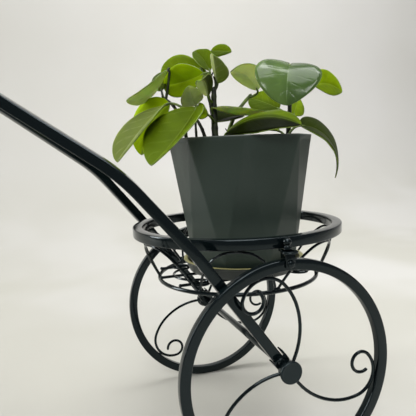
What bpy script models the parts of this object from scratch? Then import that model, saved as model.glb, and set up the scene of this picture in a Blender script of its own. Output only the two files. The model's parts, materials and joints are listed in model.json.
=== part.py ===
"""A tricycle-shaped plant stand with a faceted pot, its saucer and a broad-leaved plant.

Metres, +Z up, floor at z = 0. The cycle heads towards -X, its left side is -Y, and
the origin lies on the floor under the middle of the whole object.
"""

import math

import bmesh
import bpy
from mathutils import Matrix, Vector

# Stock that the frame is bent from
tube = 0.0095  # square tube of the arms, axle and fork
tube_round = 0.0012  # rounding of the square tube's corners
gap = 0.0003  # clearance between pieces that touch

# Wheels
wheel_radius = 0.101
rim_depth = 0.0095
rim_width = 0.0085
track = 0.232
wheelbase = 0.368
leaf_overhang = 0.0435  # how far the rearmost leaf reaches behind the rear wheels
hub_radius = 0.009
rear_hub_length = 0.0095
hub_cap_radius = 0.0103
hub_cap_height = 0.0055
hub_cap_edge_share = 0.33
front_hub_length = 0.020
front_axle_radius = 0.003

# Wheel scrolls
spoke_radius = 0.0014
spokes_per_wheel = 3
scroll_radii = (0.0655, 0.0510, 0.0225, 0.0095)
scroll_turns = (43.0, 27.0, 121.0, 265.0)
scroll_heading = 178.0
rear_left_phase = 5.0
rear_right_phase = 2.0
front_phase = 40.0

# Pot ring and basket
ring_inset = 0.006  # how far the ring's outer face lies inside the wheels' middle planes
ring_width = 0.010
ring_height = 0.010
ring_rise = 0.018  # from the top of the wheels to the top of the ring
basket_inset = 0.026
basket_drop = 0.056  # from the top of the ring to the middle of the lower ring
basket_rod_radius = 0.002
arch_count = 7
arch_wire_radius = 0.0013
arch_bearing = -112.0
arch_seat_share = 0.55
arch_foot_share = 0.955
arch_shares = ((1.0, 0.0), (0.90, 0.22), (0.76, 0.48), (0.58, 0.72), (0.36, 0.91), (0.14, 0.985))
floor_rod_radius = 0.0015
floor_rod_spacing = 0.038
floor_scroll_inset = 0.013
floor_scroll_tail = 0.001
floor_scroll_heading = 95.0
floor_scroll_radii = (0.040, 0.018, -0.011, -0.007)
floor_scroll_turns = (25.0, 50.0, -170.0, -190.0)

# Arms, seen from the side: how far each bend lies ahead of the rear axle and above the wheels
arm_inset = 0.0115  # from a wheel's middle plane to the arm's middle
low_bend_ahead = 0.0801
low_bend_rise = 0.0113
low_bend_radius = 0.097
mid_bend_ahead = 0.1345
mid_bend_rise = 0.0775
mid_bend_inset = 0.0129
mid_bend_radius = 0.133
high_bend_ahead = 0.2518
high_bend_rise = 0.1630
high_bend_radius = 0.100
arm_end_rise = 0.1647

# Arm brackets
bracket_sheet = 0.0015
bracket_reach = 0.021
flange_start = 0.0095
bolt_radius = 0.0034
bolt_height = 0.0024
bolt_skirt_share = 0.25

# Ring clips
clip_sheet = 0.0018
clip_width = 0.009
clip_overlap = 0.0020  # how far the tab reaches in under the pot ring
clip_disc_radius = 0.0073
clip_disc_reach = 0.0105  # from the ring's outer face to the middle of the tab's round end
clip_seat_radius = 0.0040
clip_tail = 0.0065
clip_nut_reach = 0.0062
clip_nut_radius = 0.0040
clip_nut_height = 0.0104
nut_shares = (
    (0.0, 1.0),
    (0.50, 0.96),
    (0.86, 0.83),
    (1.0, 0.66),
    (0.90, 0.52),
    (0.68, 0.42),
    (0.70, 0.30),
    (1.0, 0.22),
    (1.0, 0.0),
    (0.0, 0.0),
)

# Steering
rake = 12.0
head_radius = 0.0088
head_bore = 0.0055
head_length = 0.042
head_above = 0.020
stem_radius = 0.0050
post_radius = 0.0043
stem_above = 0.013
crown_rise = 0.0215  # from the top of the wheel to the middle of the fork's crown
fork_spread = 0.0158
fork_bend = 0.014
fork_drop = 0.008
axle_cap_radius = 0.0078
axle_cap_height = 0.0045
collar_radius = 0.0095
collar_height = 0.006

# Handlebar
bar_radius = 0.004
bar_half_width = 0.098
bar_rise = 0.012
bar_sweep = 0.060
bar_bend = 0.010
bar_elbow_share = 0.86
bar_elbow_sweep_share = 0.33
bar_shoulder_share = 0.5
bar_clamp_length = 0.018
bar_clamp_radius = 0.0068
grip_radius = 0.0065
grip_length = 0.038
grip_end_wall = 0.003
grip_ribs = 3
grip_rib_depth = 0.0008
grip_end_share = 0.7
grip_shoulder_share = 0.94

# Pot and saucer
pot_offset = 0.0073
pot_flare = 0.0186
pot_foot_flare = 0.0024
pot_base_rise = 0.0109  # height of the plain foot under the facets
pot_foot_clearance = 0.0013
pot_height = 0.1374
pot_wall = 0.0028
pot_sides = 8
pot_bearing = -108.5
drain_radius = 0.004
drain_circle = 0.030
drain_count = 4
saucer_clearance = 0.0195  # from the saucer's rim to the basket's lower ring
saucer_flare = 0.006
saucer_wall = 0.0022
saucer_height = 0.0125
soil_below_rim = 0.012
soil_depth = 0.030
soil_clearance = 0.00045
overrun = 0.004

# Plant
plant_reach = 0.024  # by how much the plant is higher than the pot's radius
shoot_radius = 0.0020
leaf_length_share = 0.60
leaf_half_width_share = 0.20
leaf_thickness = 0.0012
stalk_radius = 0.0012
leaf_sides = 6
blade_sections = (0.0, 0.07, 0.24, 0.48, 0.74, 0.93)
thickest_shares = (1.0, 0.8)
blade_lean = 0.86
blade_fullness = 0.72
stalk_sections = 3
stalk_bend_share = 0.5
stem_taper_share = 0.35

# Each stem: its name, its share of the usual radius, then its points from the soil up as shares of the
# plant's height
stem_shares = (
    ("main", 1.6, ((-0.30, -0.08, 0.0), (-0.30, -0.06, 0.33), (-0.29, -0.05, 0.60))),
    ("tall", 1.0, ((-0.24, 0.08, 0.0), (-0.27, 0.10, 0.40), (-0.32, 0.13, 0.72))),
    (
        "rear",
        1.0,
        ((-0.53, 0.15, 0.0), (-0.57, 0.15, 0.28), (-0.66, 0.18, 0.46), (-0.75, 0.26, 0.56)),
    ),
    ("left", 1.0, ((-0.40, -0.14, 0.0), (-0.46, -0.14, 0.20), (-0.52, -0.12, 0.32))),
    ("slim", 0.75, ((-0.41, 0.20, 0.0), (-0.42, 0.20, 0.28), (-0.41, 0.20, 0.42))),
    ("middle", 0.8, ((-0.08, 0.28, 0.0), (0.06, 0.28, 0.35), (0.25, 0.26, 0.58))),
    ("right", 1.1, ((0.56, 0.0, 0.0), (0.58, -0.02, 0.32), (0.56, -0.10, 0.76))),
    ("front", 1.0, ((-0.27, -0.32, 0.0), (-0.29, -0.33, 0.08))),
    ("low", 1.0, ((0.44, -0.14, 0.0), (0.50, -0.15, 0.12))),
)

# Each leaf: its stem, how far up that it joins, its blade's foot, heading, pitch, droop, roll,
# length and width as shares of the usual ones, and fold
leaf_shares = (
    ("left", 0.95, (-0.54, -0.24, 0.41), -144.0, -45.0, -16.0, 1.0, 1.47, 1.63, 29.0),
    ("left", 0.85, (-0.82, -0.02, 0.44), -155.0, -36.0, 13.0, 7.0, 1.30, 1.50, 18.0),
    ("slim", 0.97, (-0.41, 0.20, 0.47), -115.0, -2.0, -37.0, 24.0, 0.84, 0.63, 17.0),
    ("rear", 0.60, (-0.71, 0.14, 0.48), 136.0, -28.0, 52.0, -71.0, 1.10, 1.25, 21.0),
    ("rear", 0.90, (-0.70, 0.22, 0.82), -167.0, -63.0, -60.0, 25.0, 0.98, 1.05, 8.0),
    ("rear", 0.97, (-0.73, 0.38, 0.64), 88.0, 56.0, 50.0, -39.0, 0.67, 0.52, 8.0),
    ("tall", 0.90, (-0.27, 0.22, 0.81), 116.0, -3.0, -29.0, -83.0, 1.05, 1.15, 33.0),
    ("tall", 0.75, (-0.39, -0.04, 0.76), 124.0, -14.0, -15.0, -93.0, 0.76, 0.98, 38.0),
    ("tall", 0.97, (-0.29, 0.06, 0.81), 98.0, 52.0, 28.0, -26.0, 0.70, 0.60, 35.0),
    ("tall", 0.98, (-0.18, 0.30, 1.05), -40.0, 2.0, 18.0, 55.0, 0.39, 0.43, 14.0),
    ("main", 0.96, (-0.25, -0.06, 0.67), -115.0, 31.0, 5.0, -41.0, 0.72, 0.72, 37.0),
    ("main", 0.75, (-0.38, -0.12, 0.53), -116.0, 42.0, 60.0, 30.0, 0.80, 0.48, 26.0),
    ("main", 0.40, (-0.40, -0.16, 0.34), 90.0, 9.0, -35.0, -73.0, 0.52, 0.50, 40.0),
    ("main", 0.50, (-0.32, -0.12, 0.41), -9.0, -23.0, -37.0, 0.0, 0.98, 1.08, 16.0),
    ("main", 0.30, (-0.26, -0.04, 0.28), 37.0, 17.0, 16.0, 20.0, 0.82, 0.82, 20.0),
    ("middle", 0.95, (0.31, 0.20, 0.63), -152.0, 52.0, 60.0, 25.0, 0.80, 0.80, 24.0),
    ("right", 0.95, (0.51, -0.18, 0.84), -125.0, -20.0, 70.0, -12.0, 0.95, 1.70, 13.0),
    ("right", 0.70, (0.95, 0.08, 0.67), 11.0, 19.0, 55.0, 63.0, 0.75, 0.90, 14.0),
    ("right", 0.40, (0.60, 0.26, 0.43), 106.0, 23.0, 8.0, -48.0, 0.90, 0.88, 21.0),
    ("right", 0.30, (0.81, 0.30, 0.36), 52.0, 31.0, 6.0, 40.0, 0.80, 0.60, 5.0),
    ("front", 0.90, (-0.28, -0.34, 0.15), -42.0, 20.0, 36.0, 18.0, 1.25, 1.40, 16.0),
    ("low", 0.95, (0.65, -0.14, 0.215), -4.0, 0.0, 103.0, 30.0, 1.38, 1.35, 6.0),
    ("low", 0.50, (0.41, -0.10, 0.165), 122.0, 12.0, 8.0, -4.0, 0.46, 0.50, 19.0),
)

# Counts of facets
ring_steps = 36
arc_steps = 18
scroll_steps = 14
rod_steps = 6
round_steps = 18
saucer_steps = 28
bolt_steps = 12
grip_steps = 14
bend_steps = 5
bar_bend_steps = 3
bracket_steps = 8


def clear_scene():
    for item in list(bpy.data.objects):
        bpy.data.objects.remove(item, do_unlink=True)


def new_collection(name):
    made = bpy.data.collections.new(name)
    bpy.context.scene.collection.children.link(made)
    return made


def new_material(name, colour, roughness, metallic=0.0):
    made = bpy.data.materials.new(name)
    made.use_nodes = True
    shader = made.node_tree.nodes["Principled BSDF"]
    shader.inputs["Base Color"].default_value = (*colour, 1.0)
    shader.inputs["Roughness"].default_value = roughness
    shader.inputs["Metallic"].default_value = metallic
    return made


clear_scene()
parts = new_collection("tricycle_planter")
cutters = new_collection("cutters")

black_paint = new_material("black_paint", (0.012, 0.016, 0.018), 0.28)
black_plastic = new_material("black_plastic", (0.014, 0.018, 0.020), 0.38)
pot_plastic = new_material("pot_plastic", (0.060, 0.068, 0.060), 0.55)
saucer_plastic = new_material("saucer_plastic", (0.075, 0.080, 0.075), 0.5)
soil_brown = new_material("soil_brown", (0.035, 0.024, 0.016), 0.95)
leaf_green = new_material("leaf_green", (0.110, 0.230, 0.030), 0.32)
stem_brown = new_material("stem_brown", (0.070, 0.040, 0.030), 0.6)


def add_object(name, data, material, place=None, parent=None):
    """Links a new object for this mesh or curve into the parts collection."""
    made = bpy.data.objects.new(name, data)
    parts.objects.link(made)
    data.materials.append(material)
    if place is not None:
        made.matrix_world = place
    if parent is not None:
        made.parent = parent
        made.matrix_parent_inverse = parent.matrix_world.inverted()
    return made


def add_empty(name, place):
    made = bpy.data.objects.new(name, None)
    parts.objects.link(made)
    made.matrix_world = place
    return made


def mesh_from(bm, name):
    data = bpy.data.meshes.new(name)
    bm.to_mesh(data)
    bm.free()
    return data


def smooth(data, degrees=35.0):
    data.shade_smooth()
    data.set_sharp_from_angle(angle=math.radians(degrees))


def along_y(x, y, z):
    """Turns local +Z to world -Y and local +X to +X, at this place."""
    return Matrix.Translation((x, y, z)) @ Matrix.Rotation(math.radians(90.0), 4, "X")


def fillet(corners, radius, steps=bend_steps):
    """The corner points with each inner corner rounded to this radius, as a tube bender does it."""
    points = [Vector(corners[0])]
    for before, corner, after in zip(corners, corners[1:], corners[2:]):
        corner = Vector(corner)
        back = (Vector(before) - corner).normalized()
        ahead = (Vector(after) - corner).normalized()
        half = back.angle(ahead) / 2.0
        middle = (back + ahead).normalized()
        centre = corner + middle * (radius / math.sin(half))
        start = corner + back * (radius / math.tan(half)) - centre
        end = corner + ahead * (radius / math.tan(half)) - centre
        for step in range(steps + 1):
            points.append(centre + start.slerp(end, step / steps).normalized() * start.length)
    points.append(Vector(corners[-1]))
    return points


def arc_chain(start, heading, radii, turns, steps):
    """A flat wire bent through arcs, as points in its own plane; arcs below zero bend right."""
    points = [Vector((start[0], start[1], 0.0))]
    angle = math.radians(heading)
    for radius, turn in zip(radii, turns):
        side = Vector((-math.sin(angle), math.cos(angle), 0.0))
        centre = points[-1] + side * radius
        count = max(3, round(steps * abs(turn) / 360.0))
        for step in range(1, count + 1):
            swept = angle + math.radians(turn) * step / count
            points.append(centre - Vector((-math.sin(swept), math.cos(swept), 0.0)) * radius)
        angle += math.radians(turn)
    return points


def rod_curve(name, points, radius, rounding=1):
    data = bpy.data.curves.new(name, "CURVE")
    data.dimensions = "3D"
    data.bevel_depth = radius
    data.bevel_resolution = rounding
    data.use_fill_caps = True
    add_spline(data, points)
    return data


def add_spline(data, points, cyclic=False):
    spline = data.splines.new("POLY")
    spline.points.add(len(points) - 1)
    for place, point in zip(points, spline.points):
        point.co = (*place, 1.0)
    spline.use_cyclic_u = cyclic


def rounded_rectangle(width, height, radius, steps=1):
    """Corner points of a rounded rectangle about zero, counter-clockwise from +X."""
    points = []
    for across, up, turn in ((1, 1, 0.0), (-1, 1, 90.0), (-1, -1, 180.0), (1, -1, 270.0)):
        centre = Vector((across * (width / 2.0 - radius), up * (height / 2.0 - radius)))
        for step in range(steps + 1):
            angle = math.radians(turn + 90.0 * step / steps)
            points.append(centre + Vector((math.cos(angle), math.sin(angle))) * radius)
    return points


def tube_profile():
    """The outline that every square tube is swept with."""
    data = bpy.data.curves.new("square_tube_outline", "CURVE")
    data.dimensions = "2D"
    data.fill_mode = "NONE"
    outline = reversed(rounded_rectangle(tube, tube, tube_round))
    add_spline(data, [(point.x, point.y, 0.0) for point in outline], True)
    guide = bpy.data.objects.new("square_tube_outline", data)
    cutters.objects.link(guide)
    guide.hide_render = True
    guide.display_type = "WIRE"
    return guide


square_outline = tube_profile()


def square_tube(name, points, place=None, parent=None, twist="Z_UP"):
    data = bpy.data.curves.new(name, "CURVE")
    data.dimensions = "3D"
    data.twist_mode = twist
    data.bevel_mode = "OBJECT"
    data.bevel_object = square_outline
    data.use_fill_caps = True
    add_spline(data, points)
    return add_object(name, data, black_paint, place, parent)


def turned(name, profile, material, place, parent=None, steps=round_steps):
    """A solid of revolution: the profile runs from the top of the axis down its outer side."""
    bm = bmesh.new()
    points = [bm.verts.new((radius, 0.0, height)) for radius, height in profile]
    for first, second in zip(points, points[1:]):
        bm.edges.new((first, second))
    if profile[0] == profile[-1]:
        bmesh.ops.remove_doubles(bm, verts=bm.verts, dist=gap / 100.0)
    made = add_object(name, mesh_from(bm, name), material, place, parent)
    screw = made.modifiers.new("Turn", "SCREW")
    screw.steps = steps
    screw.render_steps = steps
    screw.use_merge_vertices = True
    screw.merge_threshold = gap / 10.0
    screw.use_smooth_shade = True
    return made


def cylinder_profile(radius, length, chamfer):
    return (
        (0.0, length),
        (radius - chamfer, length),
        (radius, length - chamfer),
        (radius, chamfer),
        (radius - chamfer, 0.0),
        (0.0, 0.0),
    )


def sleeve_profile(radius, bore, length, chamfer):
    return (
        (bore, length),
        (radius - chamfer, length),
        (radius, length - chamfer),
        (radius, chamfer),
        (radius - chamfer, 0.0),
        (bore, 0.0),
        (bore, length),
    )


def dome_profile(radius, height, steps=4):
    """A bolt head: a short straight skirt under a domed top."""
    skirt = height * bolt_skirt_share
    points = [(0.0, height)]
    for step in range(1, steps + 1):
        angle = math.radians(90.0 * (1.0 - step / steps))
        points.append((radius * math.cos(angle), skirt + (height - skirt) * math.sin(angle)))
    points.append((radius, 0.0))
    points.append((0.0, 0.0))
    return tuple(points)


def hide_cutter(item):
    for holder in list(item.users_collection):
        holder.objects.unlink(item)
    cutters.objects.link(item)
    item.hide_render = True
    item.display_type = "WIRE"


def to_mesh(item):
    """Makes a curve or a modified object a plain closed mesh, in the same place."""
    graph = bpy.context.evaluated_depsgraph_get()
    data = bpy.data.meshes.new_from_object(item.evaluated_get(graph))
    bm = bmesh.new()
    bm.from_mesh(data)
    bmesh.ops.remove_doubles(bm, verts=bm.verts, dist=gap / 100.0)
    bm.to_mesh(data)
    bm.free()
    name = item.name
    made = bpy.data.objects.new(name, data)
    parts.objects.link(made)
    made.parent = item.parent
    made.matrix_parent_inverse = item.matrix_parent_inverse
    made.matrix_world = item.matrix_world
    bpy.data.objects.remove(item, do_unlink=True)
    made.name = name
    return made


def weld(item, others):
    """Joins the other solids, which reach into this one, to it by Boolean unions."""
    made = to_mesh(item)
    for other in others:
        other = to_mesh(other)
        hide_cutter(other)
        union = made.modifiers.new("Weld", "BOOLEAN")
        union.operation = "UNION"
        union.object = other
    return made


def hoop(name, outer_radius, width, height, material, place, parent=None):
    """A ring of square section about its own Z axis, its middle plane at zero."""
    section = rounded_rectangle(width, height, tube_round)
    middle = outer_radius - width / 2.0
    profile = [(middle + p.x, p.y) for p in reversed(section)]
    profile.append(profile[0])
    return turned(name, profile, material, place, parent, ring_steps)


rear_x = (wheelbase - leaf_overhang) / 2.0
front_x = -(wheelbase + leaf_overhang) / 2.0
pot_x = rear_x + pot_offset
basket_x = rear_x
rim_inner = wheel_radius - rim_depth
wheel_top = 2.0 * wheel_radius
arm_offset = track / 2.0 - arm_inset
mid_bend_offset = arm_offset - mid_bend_inset
ring_radius = track / 2.0 - ring_inset
basket_radius = ring_radius - basket_inset
floor_scroll_start = basket_radius - floor_scroll_inset
saucer_top_radius = basket_radius - saucer_clearance
saucer_base_radius = saucer_top_radius - saucer_flare
pot_foot_radius = saucer_base_radius - saucer_wall - pot_foot_clearance
pot_base_radius = pot_foot_radius + pot_foot_flare
pot_top_radius = pot_base_radius + pot_flare
plant_height = pot_top_radius + plant_reach
leaf_length = plant_height * leaf_length_share
leaf_half_width = plant_height * leaf_half_width_share
ring_top = wheel_top + ring_rise
basket_height = ring_top - basket_drop
low_bend_height = wheel_top + low_bend_rise
mid_bend_height = wheel_top + mid_bend_rise
high_bend_height = wheel_top + high_bend_rise
arm_end_height = wheel_top + arm_end_rise
crown_height = wheel_top + crown_rise
saucer_seat_height = basket_height + basket_rod_radius + 2.0 * gap + 2.0 * floor_rod_radius
pot_floor = saucer_seat_height + saucer_wall + gap
pot_base_height = pot_floor + pot_base_rise
pot_top_height = pot_floor + pot_height


def growth_to(start, point, reach):
    """How many times its length the way from the start to this point grows to end at the reach."""
    way = point - start
    if way.length < gap:
        return math.inf
    half = start.dot(way) / way.dot(way)
    return math.sqrt(half**2 + (reach**2 - start.dot(start)) / way.dot(way)) - half


def spoke_points(phase, number):
    """One scroll spoke in the wheel's own plane, out of the hub and grown until it meets the rim."""
    start = Vector((-(hub_radius + gap), 0.0, 0.0))
    points = arc_chain(start, scroll_heading, scroll_radii, scroll_turns, arc_steps)
    reach = rim_inner * math.cos(math.pi / ring_steps) - gap - spoke_radius
    growth = min(growth_to(start, point, reach) for point in points)
    spread = 360.0 / spokes_per_wheel
    turn = Matrix.Rotation(math.radians(phase + spread * number), 3, "Z")
    return [turn @ start.lerp(point, growth) for point in points]


def add_wheel(label, x, y, phase, hub_length, hub_bore, parent=None):
    """A rim, its scroll spokes and its hub, standing on the floor at this place."""
    place = along_y(x, y, wheel_radius)
    hoop(f"{label}_rim", wheel_radius, rim_depth, rim_width, black_paint, place, parent)
    for number in range(spokes_per_wheel):
        name = f"{label}_spoke_{number + 1}"
        data = rod_curve(name, spoke_points(phase, number), spoke_radius)
        add_object(name, data, black_paint, place, parent)
    hub_place = along_y(x, y + hub_length / 2.0, wheel_radius)
    chamfer = tube_round / 2.0
    if hub_bore > 0.0:
        profile = sleeve_profile(hub_radius, hub_bore, hub_length, chamfer)
    else:
        profile = cylinder_profile(hub_radius, hub_length, chamfer)
    turned(f"{label}_hub", profile, black_paint, hub_place, parent)


def arm_axis():
    """Unit vector up the lower part of an arm, in the XZ plane."""
    return Vector((-low_bend_ahead, 0.0, low_bend_height - wheel_radius)).normalized()


def head_point(height):
    """The point of the steering axis at this height."""
    lean = math.tan(math.radians(rake))
    return Vector((front_x + (height - wheel_radius) * lean, 0.0, height))


def axle_bar_reach():
    """How far the axle bar's section reaches along an arm's axis."""
    up = arm_axis()
    return max(up.x * p.x + up.z * p.y for p in rounded_rectangle(tube, tube, tube_round))


def arm_points(side):
    axle = Vector((rear_x, side * arm_offset, wheel_radius))
    corners = [
        axle + arm_axis() * (axle_bar_reach() + gap),
        Vector((rear_x - low_bend_ahead, side * arm_offset, low_bend_height)),
        Vector((rear_x - mid_bend_ahead, side * mid_bend_offset, mid_bend_height)),
        Vector((rear_x - high_bend_ahead, 0.0, high_bend_height)),
        head_point(arm_end_height),
    ]
    end_offset = head_radius + gap + tube / 2.0
    corners[-1].y = side * end_offset
    run = (corners[3].x - corners[-1].x) / (corners[2].x - corners[-1].x)
    corners[3].y = side * (end_offset + (mid_bend_offset - end_offset) * run)
    low = fillet(corners[:3], low_bend_radius)
    middle = fillet(corners[1:4], mid_bend_radius)
    high = fillet(corners[2:], high_bend_radius)
    return low[:-1] + middle[1:-1] + high[1:]


def add_bracket(label, side):
    """A channel round the arm's lower end: a web outside it and two flanges along its edges."""
    web_inner = arm_offset + tube / 2.0 + gap
    half_width = tube / 2.0 + gap + bracket_sheet
    outline = [Vector((-half_width, bracket_reach, 0.0)), Vector((-half_width, 0.0, 0.0))]
    for step in range(1, bracket_steps):
        angle = math.radians(180.0 + 180.0 * step / bracket_steps)
        outline.append(Vector((math.cos(angle), math.sin(angle), 0.0)) * half_width)
    outline += [Vector((half_width, 0.0, 0.0)), Vector((half_width, bracket_reach, 0.0))]
    data = bpy.data.curves.new(f"arm_bracket_{label}", "CURVE")
    data.dimensions = "2D"
    data.fill_mode = "BOTH"
    data.extrude = bracket_sheet / 2.0
    add_spline(data, outline, True)
    up = arm_axis()
    out = Vector((0.0, side, 0.0))
    turn = Matrix((up.cross(out), up, out)).transposed().to_4x4()
    centre = Vector((rear_x, side * (web_inner + bracket_sheet / 2.0), wheel_radius))
    place = Matrix.Translation(centre) @ turn
    web = add_object(f"arm_bracket_{label}", data, black_paint, place)
    flange_length = bracket_reach - flange_start
    flanges = []
    for edge in (-1.0, 1.0):
        bm = bmesh.new()
        bmesh.ops.create_cube(bm, size=1.0)
        bmesh.ops.scale(bm, verts=bm.verts, vec=(bracket_sheet, flange_length, tube))
        across = edge * (half_width - bracket_sheet / 2.0)
        centre = Vector((across, flange_start + flange_length / 2.0, -tube / 2.0))
        bmesh.ops.translate(bm, verts=bm.verts, vec=centre)
        name = f"flange_{label}_{'upper' if edge > 0 else 'lower'}"
        flanges.append(add_object(name, mesh_from(bm, name), black_paint, place))
    weld(web, flanges)
    return web_inner + bracket_sheet


def facing(side, x, y, z):
    """A place whose local +Z points out of the side: -Y on the left, +Y on the right."""
    return Matrix.Translation((x, y, z)) @ Matrix.Rotation(math.radians(-90.0 * side), 4, "X")


def add_rear_end():
    """Both rear wheels with their caps, brackets, clips and bolts, and the axle bar."""
    half = arm_offset + tube / 2.0
    square_tube("axle_bar", [(rear_x, -half, wheel_radius), (rear_x, half, wheel_radius)])
    for label, side, phase in (("left", -1.0, rear_left_phase), ("right", 1.0, rear_right_phase)):
        square_tube(f"arm_{label}", arm_points(side))
        web_outer = add_bracket(label, side)
        add_wheel(f"rear_{label}", rear_x, side * track / 2.0, phase, rear_hub_length, 0.0)
        hub_face = side * (track / 2.0 + rear_hub_length / 2.0 + gap)
        turned(
            f"rear_{label}_cap",
            cap_profile(hub_cap_radius, hub_cap_height),
            black_plastic,
            facing(side, rear_x, hub_face, wheel_radius),
        )
        spot = Vector((rear_x, side * (web_outer + gap), wheel_radius))
        spot += arm_axis() * (bracket_reach + hub_radius) / 2.0
        head = dome_profile(bolt_radius, bolt_height)
        turned(f"bracket_bolt_{label}", head, black_paint, facing(side, *spot), None, bolt_steps)
        add_clip(label, side)


def cap_profile(radius, height):
    """A hub cap: a flat face with a soft edge and a slightly tapered skirt."""
    edge = height * hub_cap_edge_share
    soft = edge * hub_cap_edge_share
    return (
        (0.0, height),
        (radius - edge, height),
        (radius - soft, height - soft),
        (radius, height - edge),
        (radius - soft, 0.0),
        (0.0, 0.0),
    )


def add_clip(label, side):
    """A tab welded under the pot ring, that sits on the wheel's rim and hooks down over it."""
    ring_bottom = ring_top - ring_height - gap
    tab_bottom = ring_bottom - clip_sheet
    rim_top = wheel_top + gap
    rim_face = track / 2.0 + rim_width / 2.0 + gap
    outer = rim_face + clip_sheet
    block = track / 2.0 - clip_seat_radius
    low = wheel_top - clip_tail
    outline = [
        (ring_radius - clip_overlap, ring_bottom),
        (outer, ring_bottom),
        (outer, low),
        (rim_face, low),
        (rim_face, rim_top),
        (block, rim_top),
        (block, tab_bottom),
        (ring_radius - clip_overlap, tab_bottom),
    ]
    data = bpy.data.curves.new(f"ring_clip_{label}", "CURVE")
    data.dimensions = "2D"
    data.fill_mode = "BOTH"
    data.extrude = clip_width / 2.0
    add_spline(data, [(side * y, z, 0.0) for y, z in outline], True)
    turn = Matrix(((0.0, 0.0, 1.0), (1.0, 0.0, 0.0), (0.0, 1.0, 0.0))).to_4x4()
    place = Matrix.Translation((rear_x, 0.0, 0.0)) @ turn
    tab = add_object(f"ring_clip_{label}", data, black_paint, place)
    disc = turned(
        f"clip_disc_{label}",
        cylinder_profile(clip_disc_radius, clip_sheet, clip_sheet / 4.0),
        black_paint,
        Matrix.Translation((rear_x, side * (ring_radius + clip_disc_reach), tab_bottom)),
    )
    weld(tab, [disc])
    nut = tuple((clip_nut_radius * across, clip_nut_height * up) for across, up in nut_shares)
    seat = Matrix.Translation((rear_x, side * (ring_radius + clip_nut_reach), ring_bottom + gap))
    turned(f"ring_bolt_{label}", nut, black_paint, seat, None, bolt_steps)
    lower = facing(side, rear_x, side * (outer + gap), low + bolt_radius)
    turned(f"rim_bolt_{label}", dome_profile(bolt_radius, bolt_height), black_paint, lower, None, bolt_steps)


def arch_shape(number):
    """One wire arch from foot to foot, by shares of its half pitch and of its height."""
    low = basket_height + basket_rod_radius + gap + arch_wire_radius * arch_seat_share
    high = ring_top - ring_height - gap - arch_wire_radius
    half_pitch = 180.0 / arch_count * arch_foot_share
    centre = arch_bearing + 360.0 / arch_count * number
    top_radius = ring_radius - ring_width / 2.0
    path = [(-across, up) for across, up in arch_shares]
    path += [(across, up) for across, up in reversed(arch_shares)]
    points = []
    for across, up in path:
        angle = math.radians(centre + half_pitch * across)
        radius = basket_radius + (top_radius - basket_radius) * up
        height = low + (high - low) * up
        points.append(Vector((basket_x + radius * math.cos(angle), radius * math.sin(angle), height)))
    return points


def floor_scroll(front, side, height):
    """A wire that joins the middle floor rod to a side one and curls round at both its ends."""
    start = (floor_scroll_start, -floor_scroll_tail)
    flat = arc_chain(start, floor_scroll_heading, floor_scroll_radii, floor_scroll_turns, scroll_steps)
    return [Vector((basket_x + front * point.x, side * point.y, height)) for point in flat]


def add_basket_floor():
    """Three rods that lie on the basket ring, with scroll wires welded between them."""
    height = basket_height + basket_rod_radius + gap + floor_rod_radius
    wires = []
    for number, across in enumerate((0.0, -floor_rod_spacing, floor_rod_spacing)):
        reach = math.sqrt(basket_radius**2 - across**2)
        ends = [(basket_x - reach, across, height), (basket_x + reach, across, height)]
        name = f"floor_rod_{number}" if number else "basket_floor"
        wires.append(add_object(name, rod_curve(name, ends, floor_rod_radius), black_paint))
    for front in (-1.0, 1.0):
        for side in (-1.0, 1.0):
            name = f"floor_scroll_{len(wires)}"
            points = floor_scroll(front, side, height)
            wires.append(add_object(name, rod_curve(name, points, arch_wire_radius, 0), black_paint))
    weld(wires[0], wires[1:])


def add_basket():
    ring_place = Matrix.Translation((basket_x, 0.0, ring_top - ring_height / 2.0))
    hoop("pot_ring", ring_radius, ring_width, ring_height, black_paint, ring_place)
    bpy.ops.mesh.primitive_torus_add(
        major_radius=basket_radius,
        minor_radius=basket_rod_radius,
        major_segments=ring_steps,
        minor_segments=rod_steps,
        location=(basket_x, 0.0, basket_height),
    )
    ring = bpy.context.active_object
    ring.name = "basket_ring"
    ring.data.materials.append(black_paint)
    ring.data.shade_smooth()
    for number in range(arch_count):
        name = f"basket_arch_{number + 1}"
        add_object(name, rod_curve(name, arch_shape(number), arch_wire_radius), black_paint)


def steering_place(height):
    """A place on the steering axis whose local +Z runs up it."""
    return Matrix.Translation(head_point(height)) @ Matrix.Rotation(math.radians(rake), 4, "Y")


def add_front_end():
    """Head tube, fork, handlebar and front wheel."""
    lean = math.cos(math.radians(rake))
    head_low = arm_end_height + (head_above - head_length) * lean
    profile = sleeve_profile(head_radius, head_bore, head_length, tube_round)
    turned("head_tube", profile, black_paint, steering_place(head_low))
    pivot = add_empty("steering_axis", steering_place(head_low))
    add_fork(head_low, pivot)
    stem_top = head_low + (head_length + stem_above) * lean
    add_handlebar(stem_top + gap * lean, pivot)
    spin = add_empty("front_wheel_axis", along_y(front_x, 0.0, wheel_radius))
    bore = front_axle_radius + gap
    add_wheel("front", front_x, 0.0, front_phase, front_hub_length, bore, spin)


def column_profile(crown, collar_foot, top):
    """The steering column: a post on the fork's crown, a collar and the stem inside the head."""
    chamfer = tube_round / 2.0
    collar_top = collar_foot + collar_height
    return (
        (0.0, top),
        (stem_radius - chamfer, top),
        (stem_radius, top - chamfer),
        (stem_radius, collar_top),
        (collar_radius - chamfer, collar_top),
        (collar_radius, collar_top - chamfer),
        (collar_radius, collar_foot + chamfer),
        (collar_radius - chamfer, collar_foot),
        (post_radius, collar_foot),
        (post_radius, crown),
        (0.0, crown),
    )


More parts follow.
